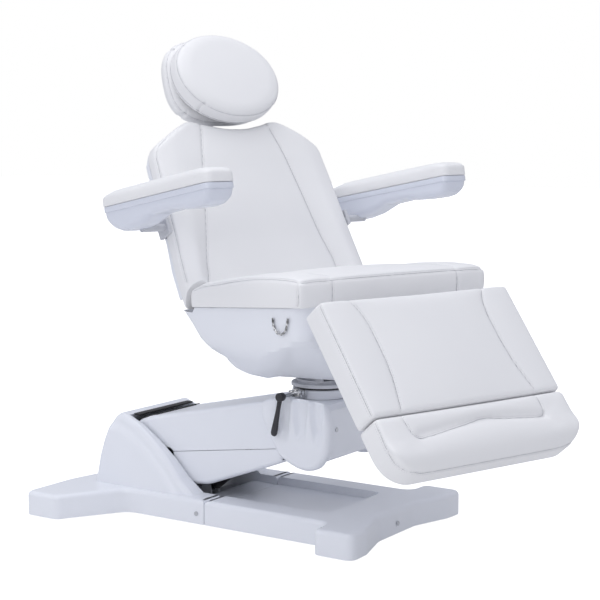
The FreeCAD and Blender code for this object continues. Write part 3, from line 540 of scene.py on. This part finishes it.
def seat_cushion():
    """Seat that thins towards the back, with a centre panel and two side panels."""
    def warp(x, y, z):
        bottom, top = curve_value(y, *SEAT_UNDER), curve_value(y, *SEAT_TOP)
        part = np.maximum(z, 0) / SEAT_THICK
        upper = ease(part, 0.6, 1.0)
        crown = 4.0 * (1 - np.clip(np.abs(x) / SEAT_SEAM, 0, 1) ** 2)
        wing = np.clip((np.abs(x) - SEAT_SEAM) / SEAT_WING, 0, 1)
        wing = 3.0 * np.sin(wing * math.pi) - 4.0 * wing ** 3
        bulge = np.sin(np.clip(part, 0, 1) * math.pi)
        return (x + side_swell(x, part, SEAT_HALF, 2.0),
                y - 4.0 * bulge * ease(-y, 250, -SEAT_FRONT),
                bottom + (top - bottom) * part + upper * (crown + wing))

    along = [(140, 622), (60, 644), (-60, 664), (-150, 675), (-240, 680), (-268, 676),
             (-286, 655), (SEAT_FRONT, 612)]
    seams = both_hands([(SEAT_SEAM, y, z) for y, z in along],
                       [(294, -278, 668), (297, -284, 640), (296, -280, 610)])
    seams.append(arch([(-SEAT_HALF, 150, 618), (-SEAT_HALF, 60, 636), (-SEAT_HALF, -60, 658),
                       (-SEAT_HALF, -150, 668), (-296, -262, 672), (-284, -286, 668),
                       (-150, SEAT_FRONT, 671)]))
    cushion("seat_cushion_cover", TOP, (-SEAT_HALF, SEAT_FRONT, -14),
            (SEAT_HALF, 159, SEAT_THICK), 8.0, (13, 11, 11), warp, seams, "seat",
            "seat_cushion", lambda x, y, z: z < 6)


# ---- backrest
BACK_HALF, BACK_TALL = 300, 500
BACK_WIDTH = ([-15, 60, 180, 237, 310, 372, 404, 436, 474, 520],
              [300, 300, 292, 290, 287, 286, 284, 282, 280, 278])
BACK_TOP = ([0, 40, 92, 118, 150, 180, 205, 240, 267, 285],
            [478, 481, 493, 503, 505, 490, 475, 453, 434, 406])
BACK_HOLLOW = ([40, 59, 157, 275, 395, 480], [30, 30, 25, 12, 2, 2])
BACK_SEAM = ([59, 157, 275, 395, 491], [208, 188, 163, 137, 111])
WING_EDGE = [(297, -76, 45), (297, -78, 100), (291, -78, 180), (288, -78, 260),
             (284, -78, 330), (282, -78, 400), (262, -80, 436), (205, -82, 472),
             (152, -82, 502)]


def back_cushion():
    """Back with a sunken centre panel between two raised wings and a shaped top edge."""
    def warp(x, y, z):
        width = curve_value(z, *BACK_WIDTH)
        x = x * width / BACK_HALF
        across = np.abs(x)
        level = np.interp(across, *BACK_TOP) - BACK_TALL
        up = z + level * ease(z, 230, BACK_TALL)
        seam = np.interp(up, *BACK_SEAM)
        inside = np.clip(across / seam, 0, 1)
        outside = np.clip((across - seam) / np.maximum(width - seam, 1), 0, 1)
        sunk = np.interp(up, *BACK_HOLLOW) * (1 - ease(outside, 0.0, 0.55))
        crown = 7.0 * (1 - inside ** 2)
        fall = 9.0 * ease(outside, 0.55, 1.0)
        y = y + (sunk - crown + fall) * ease(-y, 44, 84)
        lowest = np.maximum(-16 + np.clip(-34 - y, 0, 70) * 1.04, -18)
        up = np.where(up < 90, np.maximum(up, lowest), up)
        return x, np.minimum(y, -38), up

    panel = [(float(np.interp(z, *BACK_SEAM)), -84, z)
             for z in (45, 110, 180, 255, 330, 415, 480)]
    cushion("back_cushion_cover", BACK, (-BACK_HALF, -90, -20), (BACK_HALF, -28, BACK_TALL),
            8.0, (20, 18, 16), warp, both_hands([*panel, (110, -80, BACK_TALL)], WING_EDGE),
            "backrest", "back_cushion", lambda x, y, z: y > -40, pressure=2.5)


# ---- leg rest and footrest
LEG_HALF, LEG_SEAM, LEG_BOARD = 299, 195, 16.5
FOOT_HALF, FOOT_REAR, FOOT_FRONT, FOOT_BOARD = 298, -319, -461, 15.5
FOOT_PANEL = [(-222, -322, 84), (-220, -350, 84), (-208, -378, 84), (-160, -377, 85),
              (-100, -369, 86), (-20, -361, 87), (30, -361, 87), (110, -368, 86),
              (180, -375, 85), (200, -374, 84), (204, -350, 84), (204, -322, 84)]
FOOT_RIM = [(-297, -323, 74), (-297, -380, 72), (-280, -424, 66), (-240, -452, 64),
            (-180, -460, 62)]


def leg_cushion():
    """Leg pad with a crowned centre panel between two side panels."""
    def warp(x, y, z):
        up = np.maximum(z, LEG_BOARD)
        part = (up - LEG_BOARD) / 64
        across = np.abs(x)
        crown = 1 - np.clip(across / LEG_SEAM, 0, 1) ** 2
        crown = crown * np.clip(1 - ((y + 163) / 158) ** 2, 0, 1) ** 0.5
        wing = np.sin(np.clip((across - LEG_SEAM) / 100, 0, 1) * math.pi)
        up = up + (4.0 * crown + 2.0 * wing) * ease(part, 0.5, 1)
        return x + side_swell(x, part, LEG_HALF, 1.5), y, up

    seams = both_hands([(214, -15, 74), (203, -32, 81), (190, -72, 82), (187, -142, 82),
                        (192, -220, 82), (205, -280, 82), (214, -311, 76)],
                       [(298, -18, 74), (LEG_HALF, -160, 75), (298, -312, 74)])
    cushion("leg_cushion_cover", LEG, (-LEG_HALF, -316, 3), (LEG_HALF, -14, 81), 8.0,
            (10, 7, 9), warp, seams, "leg_rest", "leg_cushion",
            lambda x, y, z: (z < 22) | (y < -308))


def foot_cushion():
    """Foot pad with rounded outer corners, a sunken panel and a roll in front of it."""
    def warp(x, y, z):
        up = np.maximum(z, FOOT_BOARD)
        across = np.abs(x)
        corner = np.clip((across - 226) / 72, 0, 1)
        cut_back = 70 * (1 - np.sqrt(np.clip(1 - corner ** 2, 0, 1)))
        y = y + cut_back * ease(-y, 330, -FOOT_FRONT)
        upper = ease((up - FOOT_BOARD) / 68.5, 0.5, 1)
        inner = 1 - ease(across, 196, 214)
        seam_y = -361 - 16 * np.clip(across / 200, 0, 1) ** 1.5
        roll = 6.5 * np.exp(-((y - seam_y + 40) / 26) ** 2)
        dip = 8.0 * np.exp(-((y - seam_y) / 11) ** 2) * inner
        return x, y, up + (roll - dip - 12.0 * ease(-y, 425, 466)) * upper

    cushion("foot_cushion_cover", LEG, (-FOOT_HALF, FOOT_FRONT, 2), (FOOT_HALF, FOOT_REAR, 84),
            7.0, (10, 16, 14), warp, [FOOT_PANEL, arch(FOOT_RIM, (0, -462, 62))],
            "footrest", "foot_cushion", lambda x, y, z: z < 21, depth=2.6)


# ---- armrest pads
PAD_HALF, PAD_FRONT, PAD_REAR, PAD_BOARD = 45, -384, 106, 67.5


def armrest_pad(side):
    """Slim pad with fine ribs round its front end."""
    def warp(x, y, z):
        up = np.maximum(z, PAD_BOARD)
        part = (up - PAD_BOARD) / 36.5
        ends = np.maximum(ease(y, 40, PAD_REAR),
                          0.6 * ease(-y, 330, -PAD_FRONT))
        return x, y, up + (3.0 * (1 - (x / PAD_HALF) ** 2) - 7.0 * ends) * part

    ribs = [arch([(-PAD_HALF, -338, level), (-PAD_HALF, -362, level), (-36, -381, level)],
                 (0, PAD_FRONT, level)) for level in (74, 80, 86)]
    cushion(f"armrest_{side}_pad_cover", ARMREST[side], (-PAD_HALF, PAD_FRONT, 56),
            (PAD_HALF, PAD_REAR, 104), 5.5, (22, 26, 14), warp, ribs, f"armrest_{side}",
            f"armrest_{side}_pad", lambda x, y, z: z < 72, cap=2.5, depth=0.7, width=0.9,
            rows=())


# ---- headrest
def oval_warp(half, tall, middle, power):
    """Map a box front onto an oval outline."""
    def warp(x, y, z):
        u, v = np.abs(x / half), np.abs((z - middle) / tall)
        norm = (u ** power + v ** power) ** (1 / power)
        scale = np.where(norm > TINY, np.maximum(u, v) / np.maximum(norm, TINY), 1)
        return x * scale, y, middle + (z - middle) * scale
    return warp


def oval_ring(half, tall, middle, y, power):
    """A closed seam round an oval."""
    centre, u, v = np.array([(0, y, middle), (half, 0, 0), (0, 0, tall)])
    points = ring(centre, u, v, 36, 2 / power)
    return [*points, points[0]]


def headrest_pillow():
    """Oval head pillow, cut flat where it meets the cushion behind it."""
    half, tall, power = 164, 132, 2.06
    oval = oval_warp(half, tall, 0, power)
    lean = math.radians(PILLOW_ANGLE - HEADREST_ANGLE)
    cushion_front = 101

    def warp(x, y, z):
        front = ease(-y, -10, 26)
        x, y, z = oval(x, y, z)
        radial = np.sqrt((x / half) ** 2 + (z / tall) ** 2)
        rolled = ease(radial, 0.75, 1.0) - np.clip(1 - radial ** 2, 0, 1)
        behind = (PILLOW_Y + cushion_front) / -math.cos(lean) + math.tan(lean) * z
        return x, np.minimum(y + 5.0 * rolled * front, behind), z

    rims = [oval_ring(half, tall, 0, y, power) for y in (-14, 22)]
    cushion("head_pillow_cover", PILLOW, (-half, -26, -tall), (half, 33, tall), 6.0,
            (16, 15, 16), warp, rims, "headrest", "headrest_pillow", lambda x, y, z: y > 20,
            cap=4.0, depth=1.4, width=1.6, rows=(-3.2,))


def headrest_back():
    """The larger cushion behind the pillow, narrowing towards its back plate."""
    half, tall, middle, power, narrowing = 162, 122, 8, 2.8, 0.10
    oval = oval_warp(half, tall, middle, power)

    def warp(x, y, z):
        x, y, z = oval(x, y, z)
        pull = 1 - narrowing * ease(y, -78, -32)
        return x * pull, y, middle + (z - middle) * pull

    rims = [oval_ring(half, tall, middle, -92, power),
            oval_ring((1 - narrowing) * half, (1 - narrowing) * tall, middle, -40, power)]
    cushion("headrest_back_cover", HEADREST, (-half, -99, middle - tall),
            (half, -32, middle + tall), 6.0, (20, 24, 20), warp, rims, "headrest",
            "headrest_back_cushion", lambda x, y, z: (y > -36) | (y < -96),
            cap=4.0, depth=1.4, width=1.6, rows=(3.2,))


# ======== moulded shells
PROFILE, PLAN = (1, 2, 0), (0, 1, 2)  # the axes an outline and its height run along


def resample(loop, count):
    """Even points round a closed loop."""
    closed = np.vstack([loop, loop[:1]])
    length = np.concatenate([[0], np.cumsum(np.linalg.norm(np.diff(closed, axis=0), axis=1))])
    even = np.linspace(0, length[-1], count, endpoint=False)
    return np.stack([np.interp(even, length, axis) for axis in closed.T], axis=1)


def closed_curve(corners, count):
    """A smooth closed curve through the corners, as evenly spaced points."""
    knots = np.array(corners, float)
    dense = []
    for k in range(len(knots)):
        four = [knots[(k + n) % len(knots)] for n in (-1, 0, 1, 2)]
        dense += [catmull(*four, t) for t in np.linspace(0, 1, 24, endpoint=False)]
    return resample(np.array(dense), count)


def round_polygon(corners, radii, count):
    """A polygon with arcs at its corners, as evenly spaced points."""
    points = np.array(corners, float)
    dense = []
    for k, here in enumerate(points):
        back, ahead = points[k - 1] - here, points[(k + 1) % len(points)] - here
        gaps = np.linalg.norm(back), np.linalg.norm(ahead)
        back, ahead = back / gaps[0], ahead / gaps[1]
        half_angle = 0.5 * math.acos(float(np.clip(back @ ahead, -1, 1)))
        reach = min(radii[k] / math.tan(half_angle), 0.45 * gaps[0], 0.45 * gaps[1])
        start, end = here + back * reach, here + ahead * reach
        dense += [(1 - t) ** 2 * start + 2 * t * (1 - t) * here + t * t * end
                  for t in np.linspace(0, 1, 14)]
    return resample(np.array(dense), count)


def rounded_plan(half, front, back, radius_front, radius_back, count):
    corners = [(half, back), (-half, back), (-half, front), (half, front)]
    return round_polygon(corners, [radius_back, radius_back, radius_front, radius_front], count)


def outline_normals(loop):
    """Outward unit normals of a closed loop."""
    ahead = np.roll(loop, -1, axis=0)
    along = ahead - np.roll(loop, 1, axis=0)
    normals = np.stack([along[:, 1], -along[:, 0]], axis=1)
    normals /= np.maximum(np.linalg.norm(normals, axis=1), TINY)[:, None]
    area = np.sum(loop[:, 0] * ahead[:, 1] - ahead[:, 0] * loop[:, 1])
    return normals if area > 0 else -normals


def ring_faces(rings, count):
    """Quads between rings of points one after another, then a face over each end."""
    faces = []
    for a in range(0, (rings - 1) * count, count):
        for k in range(count):
            n = (k + 1) % count
            faces.append((a + k, a + n, a + count + n, a + count + k))
    faces.append(tuple(reversed(range(count))))
    faces.append(tuple(range((rings - 1) * count, rings * count)))
    return faces


def clean(item, angle, weighted=False):
    """Consistent outward normals, triangulated caps, sharp edges only where it folds."""
    work = bmesh.new()
    work.from_mesh(item.data)
    bmesh.ops.remove_doubles(work, verts=work.verts, dist=1e-6)
    bmesh.ops.triangulate(work, faces=[face for face in work.faces if len(face.verts) > 4])
    bmesh.ops.recalc_face_normals(work, faces=work.faces)
    work.to_mesh(item.data)
    work.free()
    item.data.shade_smooth()
    item.data.set_sharp_from_angle(angle=math.radians(angle))
    item.data.update()
    if weighted:
        item.modifiers.new("even", "WEIGHTED_NORMAL").keep_sharp = True
        bake(item)


def slab(name, order, outline, back, face, fillet, relief=None, rings=9, dome=0.0,
         both_ends=False, slot="cover_plastic"):
    """An outline raised between two levels: rolled edges, and a face shaped by relief."""
    loop = np.array(outline, float)
    count = len(loop)
    normals = outline_normals(loop)
    middle = loop.mean(axis=0)
    direction = 1 if face > back else -1

    def rolled(turn, level, sign):
        inset, drop = fillet * (1 - math.cos(turn)), fillet * (1 - math.sin(turn))
        return loop - normals * inset, level + sign * direction * drop

    layers = [rolled(turn, back, 1) for turn in np.linspace(math.pi / 2, 0, 6)]
    if not both_ends:
        layers = [(loop, back)]
    layers += [rolled(turn, face, -1) for turn in np.linspace(0, math.pi / 2, 8)]
    edge = layers[-1][0]
    if relief or dome:
        for t in np.linspace(0, 1, rings + 2)[1:-1]:
            height = face + direction * dome * (1 - (1 - t) ** 2)
            layers.append((middle + (edge - middle) * (1 - t), height))
    points = np.empty((len(layers) * count, 3))
    points[:, order[:2]] = np.concatenate([flat for flat, _ in layers])
    points[:, order[2]] = np.repeat([height for _, height in layers], count)
    if relief:
        points = reshape(points, relief)
    item = mesh_object(name, points, ring_faces(len(layers), count), ROW, MATERIALS[slot])
    clean(item, 40)
    return item


# ---- armrest shells
TRAY_HALF, TRAY_FRONT, TRAY_REAR = 43, -381, 104
GROOVE, GROOVE_LEVEL, KEEL_RADIUS = 2.6, 50.0, 20.0
TRAY_BAND = [(0.8, 66.6), (0.0, 65.0), (0.0, 53.6), (0.5, 52.6), (GROOVE, 52.0),
             (GROOVE, 50.4)]
TRAY_UNDER = ([-382, -366, -345, -320, -268, -190, -118, -80, -50, 0, 30, 62, 92, 104],
              [46, 26, 18, 16, 18, 25, 23, 12, 4, -2, -2, 8, 26, 46])


def armrest_shell(side):
    """A tray under the pad: upper band, groove, then a keel that rolls under."""
    count = 180

    def plan(inset):
        return rounded_plan(TRAY_HALF - inset, TRAY_FRONT + inset, TRAY_REAR - inset, 20, 26,
                            count)

    keel = [(GROOVE + KEEL_RADIUS * (1 - math.cos(turn)), KEEL_RADIUS * (1 - math.sin(turn)))
            for turn in np.linspace(0, math.pi / 2, 9)]
    keel += [(inset, -0.4) for inset in (28, 34, 40)]
    points = [(x, y, level) for inset, level in TRAY_BAND for x, y in plan(inset)]
    points += [(x, y, min(GROOVE_LEVEL, np.interp(y, *TRAY_UNDER) + drop))
               for inset, drop in keel for x, y in plan(inset)]
    # The tray takes the darker copy of the cover plastic, which is painted shade.
    item = mesh_object(f"armrest_{side}_tray", points,
                       ring_faces(len(TRAY_BAND) + len(keel), count), ARMREST[side], SHADED_TRAY_PLASTIC)
    clean(item, 30)
    finish(item, f"armrest_{side}", f"armrest_{side}_shell")


# ---- head side covers
EAR_CURVE = [(-98, 337), (-60, 344), (-22, 346), (14, 345), (58, 342), (84, 332), (90, 310),
             (84, 282), (68, 252), (50, 221), (34, 197), (-4, 176), (-44, 167), (-82, 178),
             (-106, 212), (-113, 250), (-113, 305)]
EAR_FLUTES = ((20, 19), (-30, 20), (-78, 17))  # centre and width of each at the top
FLUTE_DEPTH = 14.0


def ear(label, sign):
    """Egg-shaped cheek with three shallow flutes fading out downwards."""
    def relief(x, y, z):
        depth = np.abs(x)
        on_face = ease(depth, 130, 147)
        upper = ease(z, 232, 282)
        taper = 0.6 + 0.4 * ease(z, 245, 335)
        groove = sum(np.exp(-((y - centre - (z - 340) * 0.06) / (width * taper)) ** 4)
                     for centre, width in EAR_FLUTES)
        return sign * (depth - FLUTE_DEPTH * groove * upper * on_face), y, z

    item = slab(label + "_moulding", PROFILE, closed_curve(EAR_CURVE, 260),
                sign * 127, sign * 149.5, 15.0, relief, rings=40, dome=4.0)
    finish(item, "head", label)


# ---- seat shell
SHELL_LEVELS = [612, 575, 560, 545, 525, 505, 489, 474, 462, 452, 444, 438, 432, 424, 411, 402,
                396, 392, 390]
SHELL_REACH = ([390, 393, 398, 411, 424, 432, 438, 444, 450, 465, 489, 525, 551, 620],
               [158, 180, 198, 218, 230, 236, 238, 244, 257, 283, 306, 327, 347, 352])
SHELL_HALF = ([390, 396, 411, 437, 450, 465, 489, 525, 551, 620],
              [150, 172, 198, 226, 243, 258, 272, 283, 287, 288])
SHELL_FRONT = ([390, 396, 411, 437, 465, 500, 530, 551, 620],
               [-130, -150, -178, -205, -232, -262, -276, -279, -281])
SHELL_CORNER = ([390, 450, 551], [90, 80, 50])
SHELL_FRONT_CORNER = 60
FACET = [(286.0, -312.0, 542.0), (180.0, -40.0, 422.0), (0.0, -190.0, 400.0)]
FACET_CUT = 0.88  # how much of what lies beyond each facet's plane is cut off
CORNER_ACROSS, CORNER_BACK = 0.788, 0.615  # the direction in which SHELL_REACH is given
ROD_X, ROD_HALF, ROD_FRONT, ROD_FLOOR = -95, 27, -200, 472


def seat_shell():
    """Tub under the seat: two rounded lobes behind, planed-off facets at the front."""
    count = 220
    points = []
    for level in SHELL_LEVELS:
        half, front, reach, corner = (
            float(np.interp(level, *table))
            for table in (SHELL_HALF, SHELL_FRONT, SHELL_REACH, SHELL_CORNER))
        back = corner + (reach - corner - CORNER_ACROSS * (half - corner)) / CORNER_BACK
        for x, y in rounded_plan(half, front, back, SHELL_FRONT_CORNER, corner, count):
            rim = 568.5 - (y - 160) * 0.0873 if y < 162 else 555.0
            points.append((x, y, min(level, rim)))
    points = np.array(points)
    for side in SIDES:
        through, lower, centre = np.array(FACET) * (side, 1, 1)
        normal = np.cross(lower - through, centre - through)
        normal *= -np.sign(normal[1]) / np.linalg.norm(normal)
        beyond = np.maximum((points - through) @ normal, 0)
        points = points - FACET_CUT * beyond[:, None] * normal
    *sides, _, floor = ring_faces(len(SHELL_LEVELS), count)
    faces = []
    for face in sides:
        x, y, z = points[list(face)].mean(axis=0)
        if not (abs(x - ROD_X) < ROD_HALF and y < ROD_FRONT and z > ROD_FLOOR):
            faces.append(face)
    faces.append(floor)
    item = mesh_object("seat_tub", points, faces, TOP, MATERIALS["cover_plastic"])
    clean(item, 22)
    finish(item, "seat", "seat_shell")


# ---- base covers
FLOOR_GAP, COVER_TOP, COVER_FILLET = 3, 66, 13.0
FRONT_PLAN = [(90, -227, 80), (205, -262, 40), (277, -266, 26), (277, -150, 26),
              (205, -150, 30), (205, 227, 3)]  # x, y, corner radius of the right half
REAR_PLAN = [(205, 229, 3), (205, 480, 50), (345, 566, 40), (375, 582, 24), (375, 693, 26),
             (200, 693, 30), (110, 677, 40)]
RECESS = [(130, -105, 24), (130, 260, 2), (-130, 260, 2), (-130, -105, 24)]
HOUSING = [(612, 10, 20), (612, 74, 30), (608, 138, 60), (600, 181, 60), (589, 215, 40),
           (574, 240, 30), (554, 256, 24), (530, 246, 40), (488, 228, 60), (430, 190, 60),
           (380, 150, 60), (330, 100, 60), (282, 64, 40), (248, 52, 20), (248, 10, 20)]
HOUSING_EDGE = ([282, 330, 380, 430, 488, 530, 554], [64, 100, 150, 190, 228, 246, 256])
HOUSING_HALF, HOUSING_LEAN, STEP_DEPTH = 190, 0.2, 8.0
ARM_SLOT = [(200, 44, 1), (200, 400, 1), (532, 400, 6), (534, 236, 24), (562, 206, 30),
            (577, 160, 30), (583, 100, 30), (583, -20, 1), (318, -20, 1), (318, 44, 12)]


def rounded(rows, count):
    """A rounded outline from rows of two coordinates and a corner radius."""
    return round_polygon([row[:2] for row in rows], [row[2] for row in rows], count)


def base_cover(name, right, count):
    """A low cover from one half of its plan, which is closed with its mirror image."""
    rows = right + [(-x, y, radius) for x, y, radius in reversed(right)]
    return slab(name, PLAN, rounded(rows, count), FLOOR_GAP, COVER_TOP, COVER_FILLET)


def combine(item, other, operation):
    """Merge or cut with another solid, which is then dropped."""
    modifier = item.modifiers.new("combine", "BOOLEAN")
    modifier.operation = operation
    modifier.solver = "MANIFOLD"
    modifier.object = other
    bake(item)
    bpy.data.objects.remove(other)


def base_front():
    """Front base cover with two rounded feet and the recess under the arm."""
    item = base_cover("base_front_moulding", FRONT_PLAN, 420)
    recess = slab("recess", PLAN, rounded(RECESS, 160), 44, 90, 1.0)
    combine(item, recess, "DIFFERENCE")
    clean(item, 32, True)
    finish(item, "base", "base_front_cover")


def base_rear():
    """Rear base cover: two feet and a housing that rises behind the arm, open for it."""
    def lean(x, y, z):
        """Cheeks lean inwards; a soft step follows the front edge of each one."""
        band = 1 - ease(np.interp(y, *HOUSING_EDGE) - z, 26, 50)
        on_face = ease(np.abs(x), 150, 186)
        x = x - np.sign(x) * STEP_DEPTH * band * on_face
        return x * (1 - HOUSING_LEAN * (z - COVER_TOP) / HOUSING_HALF), y, z

    item = base_cover("base_rear_moulding", REAR_PLAN, 460)
    for face in (HOUSING_HALF, -HOUSING_HALF):
        half = slab("housing", PROFILE, rounded(HOUSING, 260), 0, face, 16.0, lean,
                    rings=30)
        combine(item, half, "UNION")
    slot = slab("slot", PROFILE, rounded(ARM_SLOT, 180), -130, 130, 1.0, both_ends=True)
    combine(item, slot, "DIFFERENCE")
    clean(item, 32, True)
    finish(item, "base", "base_rear_cover")
    lip = slab("slot_gasket", PLAN, rounded_plan(119, 509, 532, 4, 8, 160), 246, 250,
               1.5, slot="black_rubber")
    finish(lip, "base", slot="black_rubber")


# ---- lift arm covers
ARM_OUTLINE = [(543, 160, 13), (545, 178, 20), (533, 213, 30), (508, 236, 30), (478, 247, 30),
               (97, 328, 14), (66, 304, 20), (44, 268, 20), (36, 209, 20), (34, 190, 8),
               (46, 172, 12), (66, 164, 20), (278, 86, 40), (330, 80, 40), (400, 108, 6),
               (402, 160, 2)]
ARM_HOLLOW = [(537, 161), (540, 178), (528, 210), (505, 231), (478, 241), (20, 338), (10, 300),
              (10, 186), (50, 178), (280, 91), (330, 85), (395, 112), (398, 161)]
ARM_HALF, ARM_WALL = 122, 5
ARM_COVERS = {  # label: what lies beyond the seam, the opening, the opening's half width
    "arm_upper_cover": ([(-60, 225.6), (403, 161.3), (403, -50), (-60, -50)],
                        [(490, 243), (490, 280), (86, 366), (86, 328)], 98),
    "arm_lower_cover": ([(-60, 224.2), (400, 160.2), (400, -50), (700, -50), (700, 500),
                         (-60, 500)],
                        [(190, 40), (190, 132), (425, 132), (425, 40)], 45)}


def side_cut(item, corners, half, radius=1.0):
    """Cut a profile right across the item, |x| < half."""
    loop = round_polygon(corners, [radius] * len(corners), 200)
    cutter = slab("cut", PROFILE, loop, -half, half, radius, both_ends=True)
    combine(item, cutter, "DIFFERENCE")


def arm_covers():
    """The arm's clam-shell: each half is the whole arm less the other half and a hollow."""
    for label, (beyond, opening, opening_half) in ARM_COVERS.items():
        item = slab(label + "_moulding", PROFILE, rounded(ARM_OUTLINE, 300), -ARM_HALF,
                    ARM_HALF, 12.0, both_ends=True)
        side_cut(item, ARM_HOLLOW, ARM_HALF - ARM_WALL)
        side_cut(item, beyond, 200)
        side_cut(item, opening, opening_half, 4.0)
        clean(item, 32, True)
        finish(item, "lift_arm", label)


# ---- small hardware
HOOK = [(-178, 576), (-180, 562), (-188, 547), (-205, 539), (-222, 545), (-232, 560),
        (-236, 580)]
HOOK_X, HOOK_WIRE = 291, 2.8
LEVER_PIVOT = Vector((-168, 14, 353))
LEVER_DOWN, LEVER_ACROSS = Vector((0, 0.2, -0.98)), Vector((0, 0.98, 0.2))
LEVER_BOSS = ((-176, 7.5), (-175.4, 9.6), (-174, 11), (-160, 11), (-158.5, 10.4),
              (-158, 8.4), (-154, 8))  # x, radius
LEVER_GRIP = ((2, 6.5, 5.4), (14, 5.6, 5.0), (34, 5.4, 4.8), (60, 6.6, 5.2), (84, 8.4, 5.8),
              (94, 8.6, 6.0), (99, 7.4, 5.4), (102, 4.6, 3.6), (103, 1.6, 1.4))


def tube(path, radius, sides=14):
    """A round rod bent along a smoothed path that stays at one x."""
    spine = densify(path, 2.0)
    last = len(spine) - 1
    points = []
    for k, spot in enumerate(spine):
        along = (spine[min(k + 1, last)] - spine[max(k - 1, 0)]).normalized()
        side = along.cross(X_AXIS).normalized()
        points += ring(spot, side * radius, X_AXIS * radius, sides)
    return points, ring_faces(len(spine), sides)


def merged(name, solids, matrix, slot):
    """Several closed ring solids as one mesh."""
    points, faces = [], []
    for some_points, some_faces in solids:
        base = len(points)
        points += some_points
        faces += [tuple(base + index for index in face) for face in some_faces]
    item = mesh_object(name, points, faces, matrix, MATERIALS[slot])
    clean(item, 50)
    return item


def hooks():
    """A bent wire hook on each side of the seat shell."""
    solids = [tube([(side * HOOK_X, y, z) for y, z in HOOK], HOOK_WIRE) for side in SIDES]
    item = merged("seat_hooks_wire", solids, TOP, "chrome")
    finish(item, "seat", "seat_hooks", slot="chrome")


def lever():
    """Clamp lever: a turned boss and a flat grip that widens towards its rounded end."""
    count = 28
    down, across = LEVER_DOWN.normalized(), LEVER_ACROSS.normalized()
    boss, grip = [], []
    for x, radius in LEVER_BOSS:
        centre = Vector((x, LEVER_PIVOT.y, LEVER_PIVOT.z))
        boss += ring(centre, Y_AXIS * radius, Z_AXIS * radius, count)
    for travel, wide, thick in LEVER_GRIP:
        grip += ring(LEVER_PIVOT + down * travel, across * wide, X_AXIS * thick, count, 0.7)
    solids = [(rings, ring_faces(len(rings) // count, count)) for rings in (boss, grip)]
    item = merged("lock_lever_grip", solids, ROW, "black_plastic")
    finish(item, "lock_lever", "lock_lever", slot="black_plastic")


# ======== studio
LENS, SENSOR = 91.28, 36.0
EYE, HEADING, PITCH = Vector((-3.253, -2.100, 1.024)), Vector((0.8323, 0.5544, 0.0)), 6.517
WHITE = (1, 1, 1, 1)
AMBIENT = 0.57
FLOOR_GLOW, FLOOR_SEEN = 0.12, 0.85
FLOOR_SIZE, FLOOR_DROP = 40, 0.0005
LAMP_AIM = Vector((0, 0.1, 0.6))
LAMPS = [("key", (-4.2, -0.7, 2.6), 2.6, 35, (0.99, 0.99, 1.0)),
         ("rake", (-2.6, 4.0, 2.2), 2.0, 10, (0.97, 0.98, 1.0)),
         ("top", (-0.4, 0.2, 4.2), 3.0, 46, (1, 1, 1))]


def stand(name, data, place, look):
    """A camera or lamp that looks along a direction."""
    item = bpy.data.objects.new(name, data)
    item.location = place
    item.rotation_euler = look.to_track_quat("-Z", "Y").to_euler()
    SCENE.collection.objects.link(item)
    return item


def add_camera():
    pitch = math.radians(PITCH)
    data = bpy.data.cameras.new("camera")
    data.lens, data.sensor_width = LENS, SENSOR
    look = HEADING.normalized() * math.cos(pitch) - Z_AXIS * math.sin(pitch)
    SCENE.camera = stand("camera", data, EYE, look)


def add_floor():
    """A plain pale floor; what the camera sees of it is lifted to the backdrop's white."""
    material, tree, place = shader("pale_floor", (0.6, 0.6, 0.6), 0.6)
    vary(tree, (noise(tree, place, 1.5, 2.0), (0.72, 0.72, 0.73), (0.76, 0.76, 0.76)))
    seen = node(tree, "LightPath", {}).outputs["Is Camera Ray"]
    glow = node(tree, "MapRange", {"Value": seen, "To Min": FLOOR_GLOW, "To Max": FLOOR_SEEN})
    drive(tree, {"Emission Color": WHITE, "Emission Strength": glow.outputs["Result"]})
    bpy.ops.mesh.primitive_plane_add(size=FLOOR_SIZE, location=(0, 0, -FLOOR_DROP))
    floor = bpy.context.object
    floor.name = "floor"
    floor.data.materials.append(material)


def add_world():
    """Soft light that is stronger from above, behind a white backdrop."""
    world = bpy.data.worlds.new("studio")
    world.use_nodes = True
    tree = world.node_tree
    direction = node(tree, "TexCoord", {}).outputs["Generated"]
    height = node(tree, "SeparateXYZ", {"Vector": direction}).outputs["Z"]
    sky = node(tree, "MapRange", {"Value": height, "To Min": 0.72 * AMBIENT,
                                  "To Max": 1.45 * AMBIENT})
    light = wire(tree, tree.nodes["Background"], {"Color": (0.90, 0.92, 1.0, 1),
                                                  "Strength": sky.outputs["Result"]})
    backdrop = node(tree, "Background", {"Color": WHITE})
    seen = node(tree, "LightPath", {}).outputs["Is Camera Ray"]
    mix = node(tree, "MixShader", {"Fac": seen, 1: light.outputs["Background"],
                                   2: backdrop.outputs["Background"]})
    wire(tree, tree.nodes["World Output"], {"Surface": mix.outputs["Shader"]})
    SCENE.world = world


def add_lamps():
    for name, place, size, power, color in LAMPS:
        lamp = bpy.data.lights.new(name, "AREA")
        lamp.size, lamp.energy, lamp.color = size, power, color
        stand(name, lamp, place, LAMP_AIM - Vector(place))


# ======== build
dress_cad()
seat_cushion()
back_cushion()
leg_cushion()
foot_cushion()
for side_name, side_sign in (("left", 1), ("right", -1)):
    armrest_pad(side_name)
    armrest_shell(side_name)
    ear(f"head_cover_{side_name}", side_sign)
seat_shell()
base_front()
base_rear()
arm_covers()
hooks()
lever()
headrest_pillow()
headrest_back()
add_camera()
add_floor()
add_world()
add_lamps()
SCENE.view_settings.view_transform = "Standard"
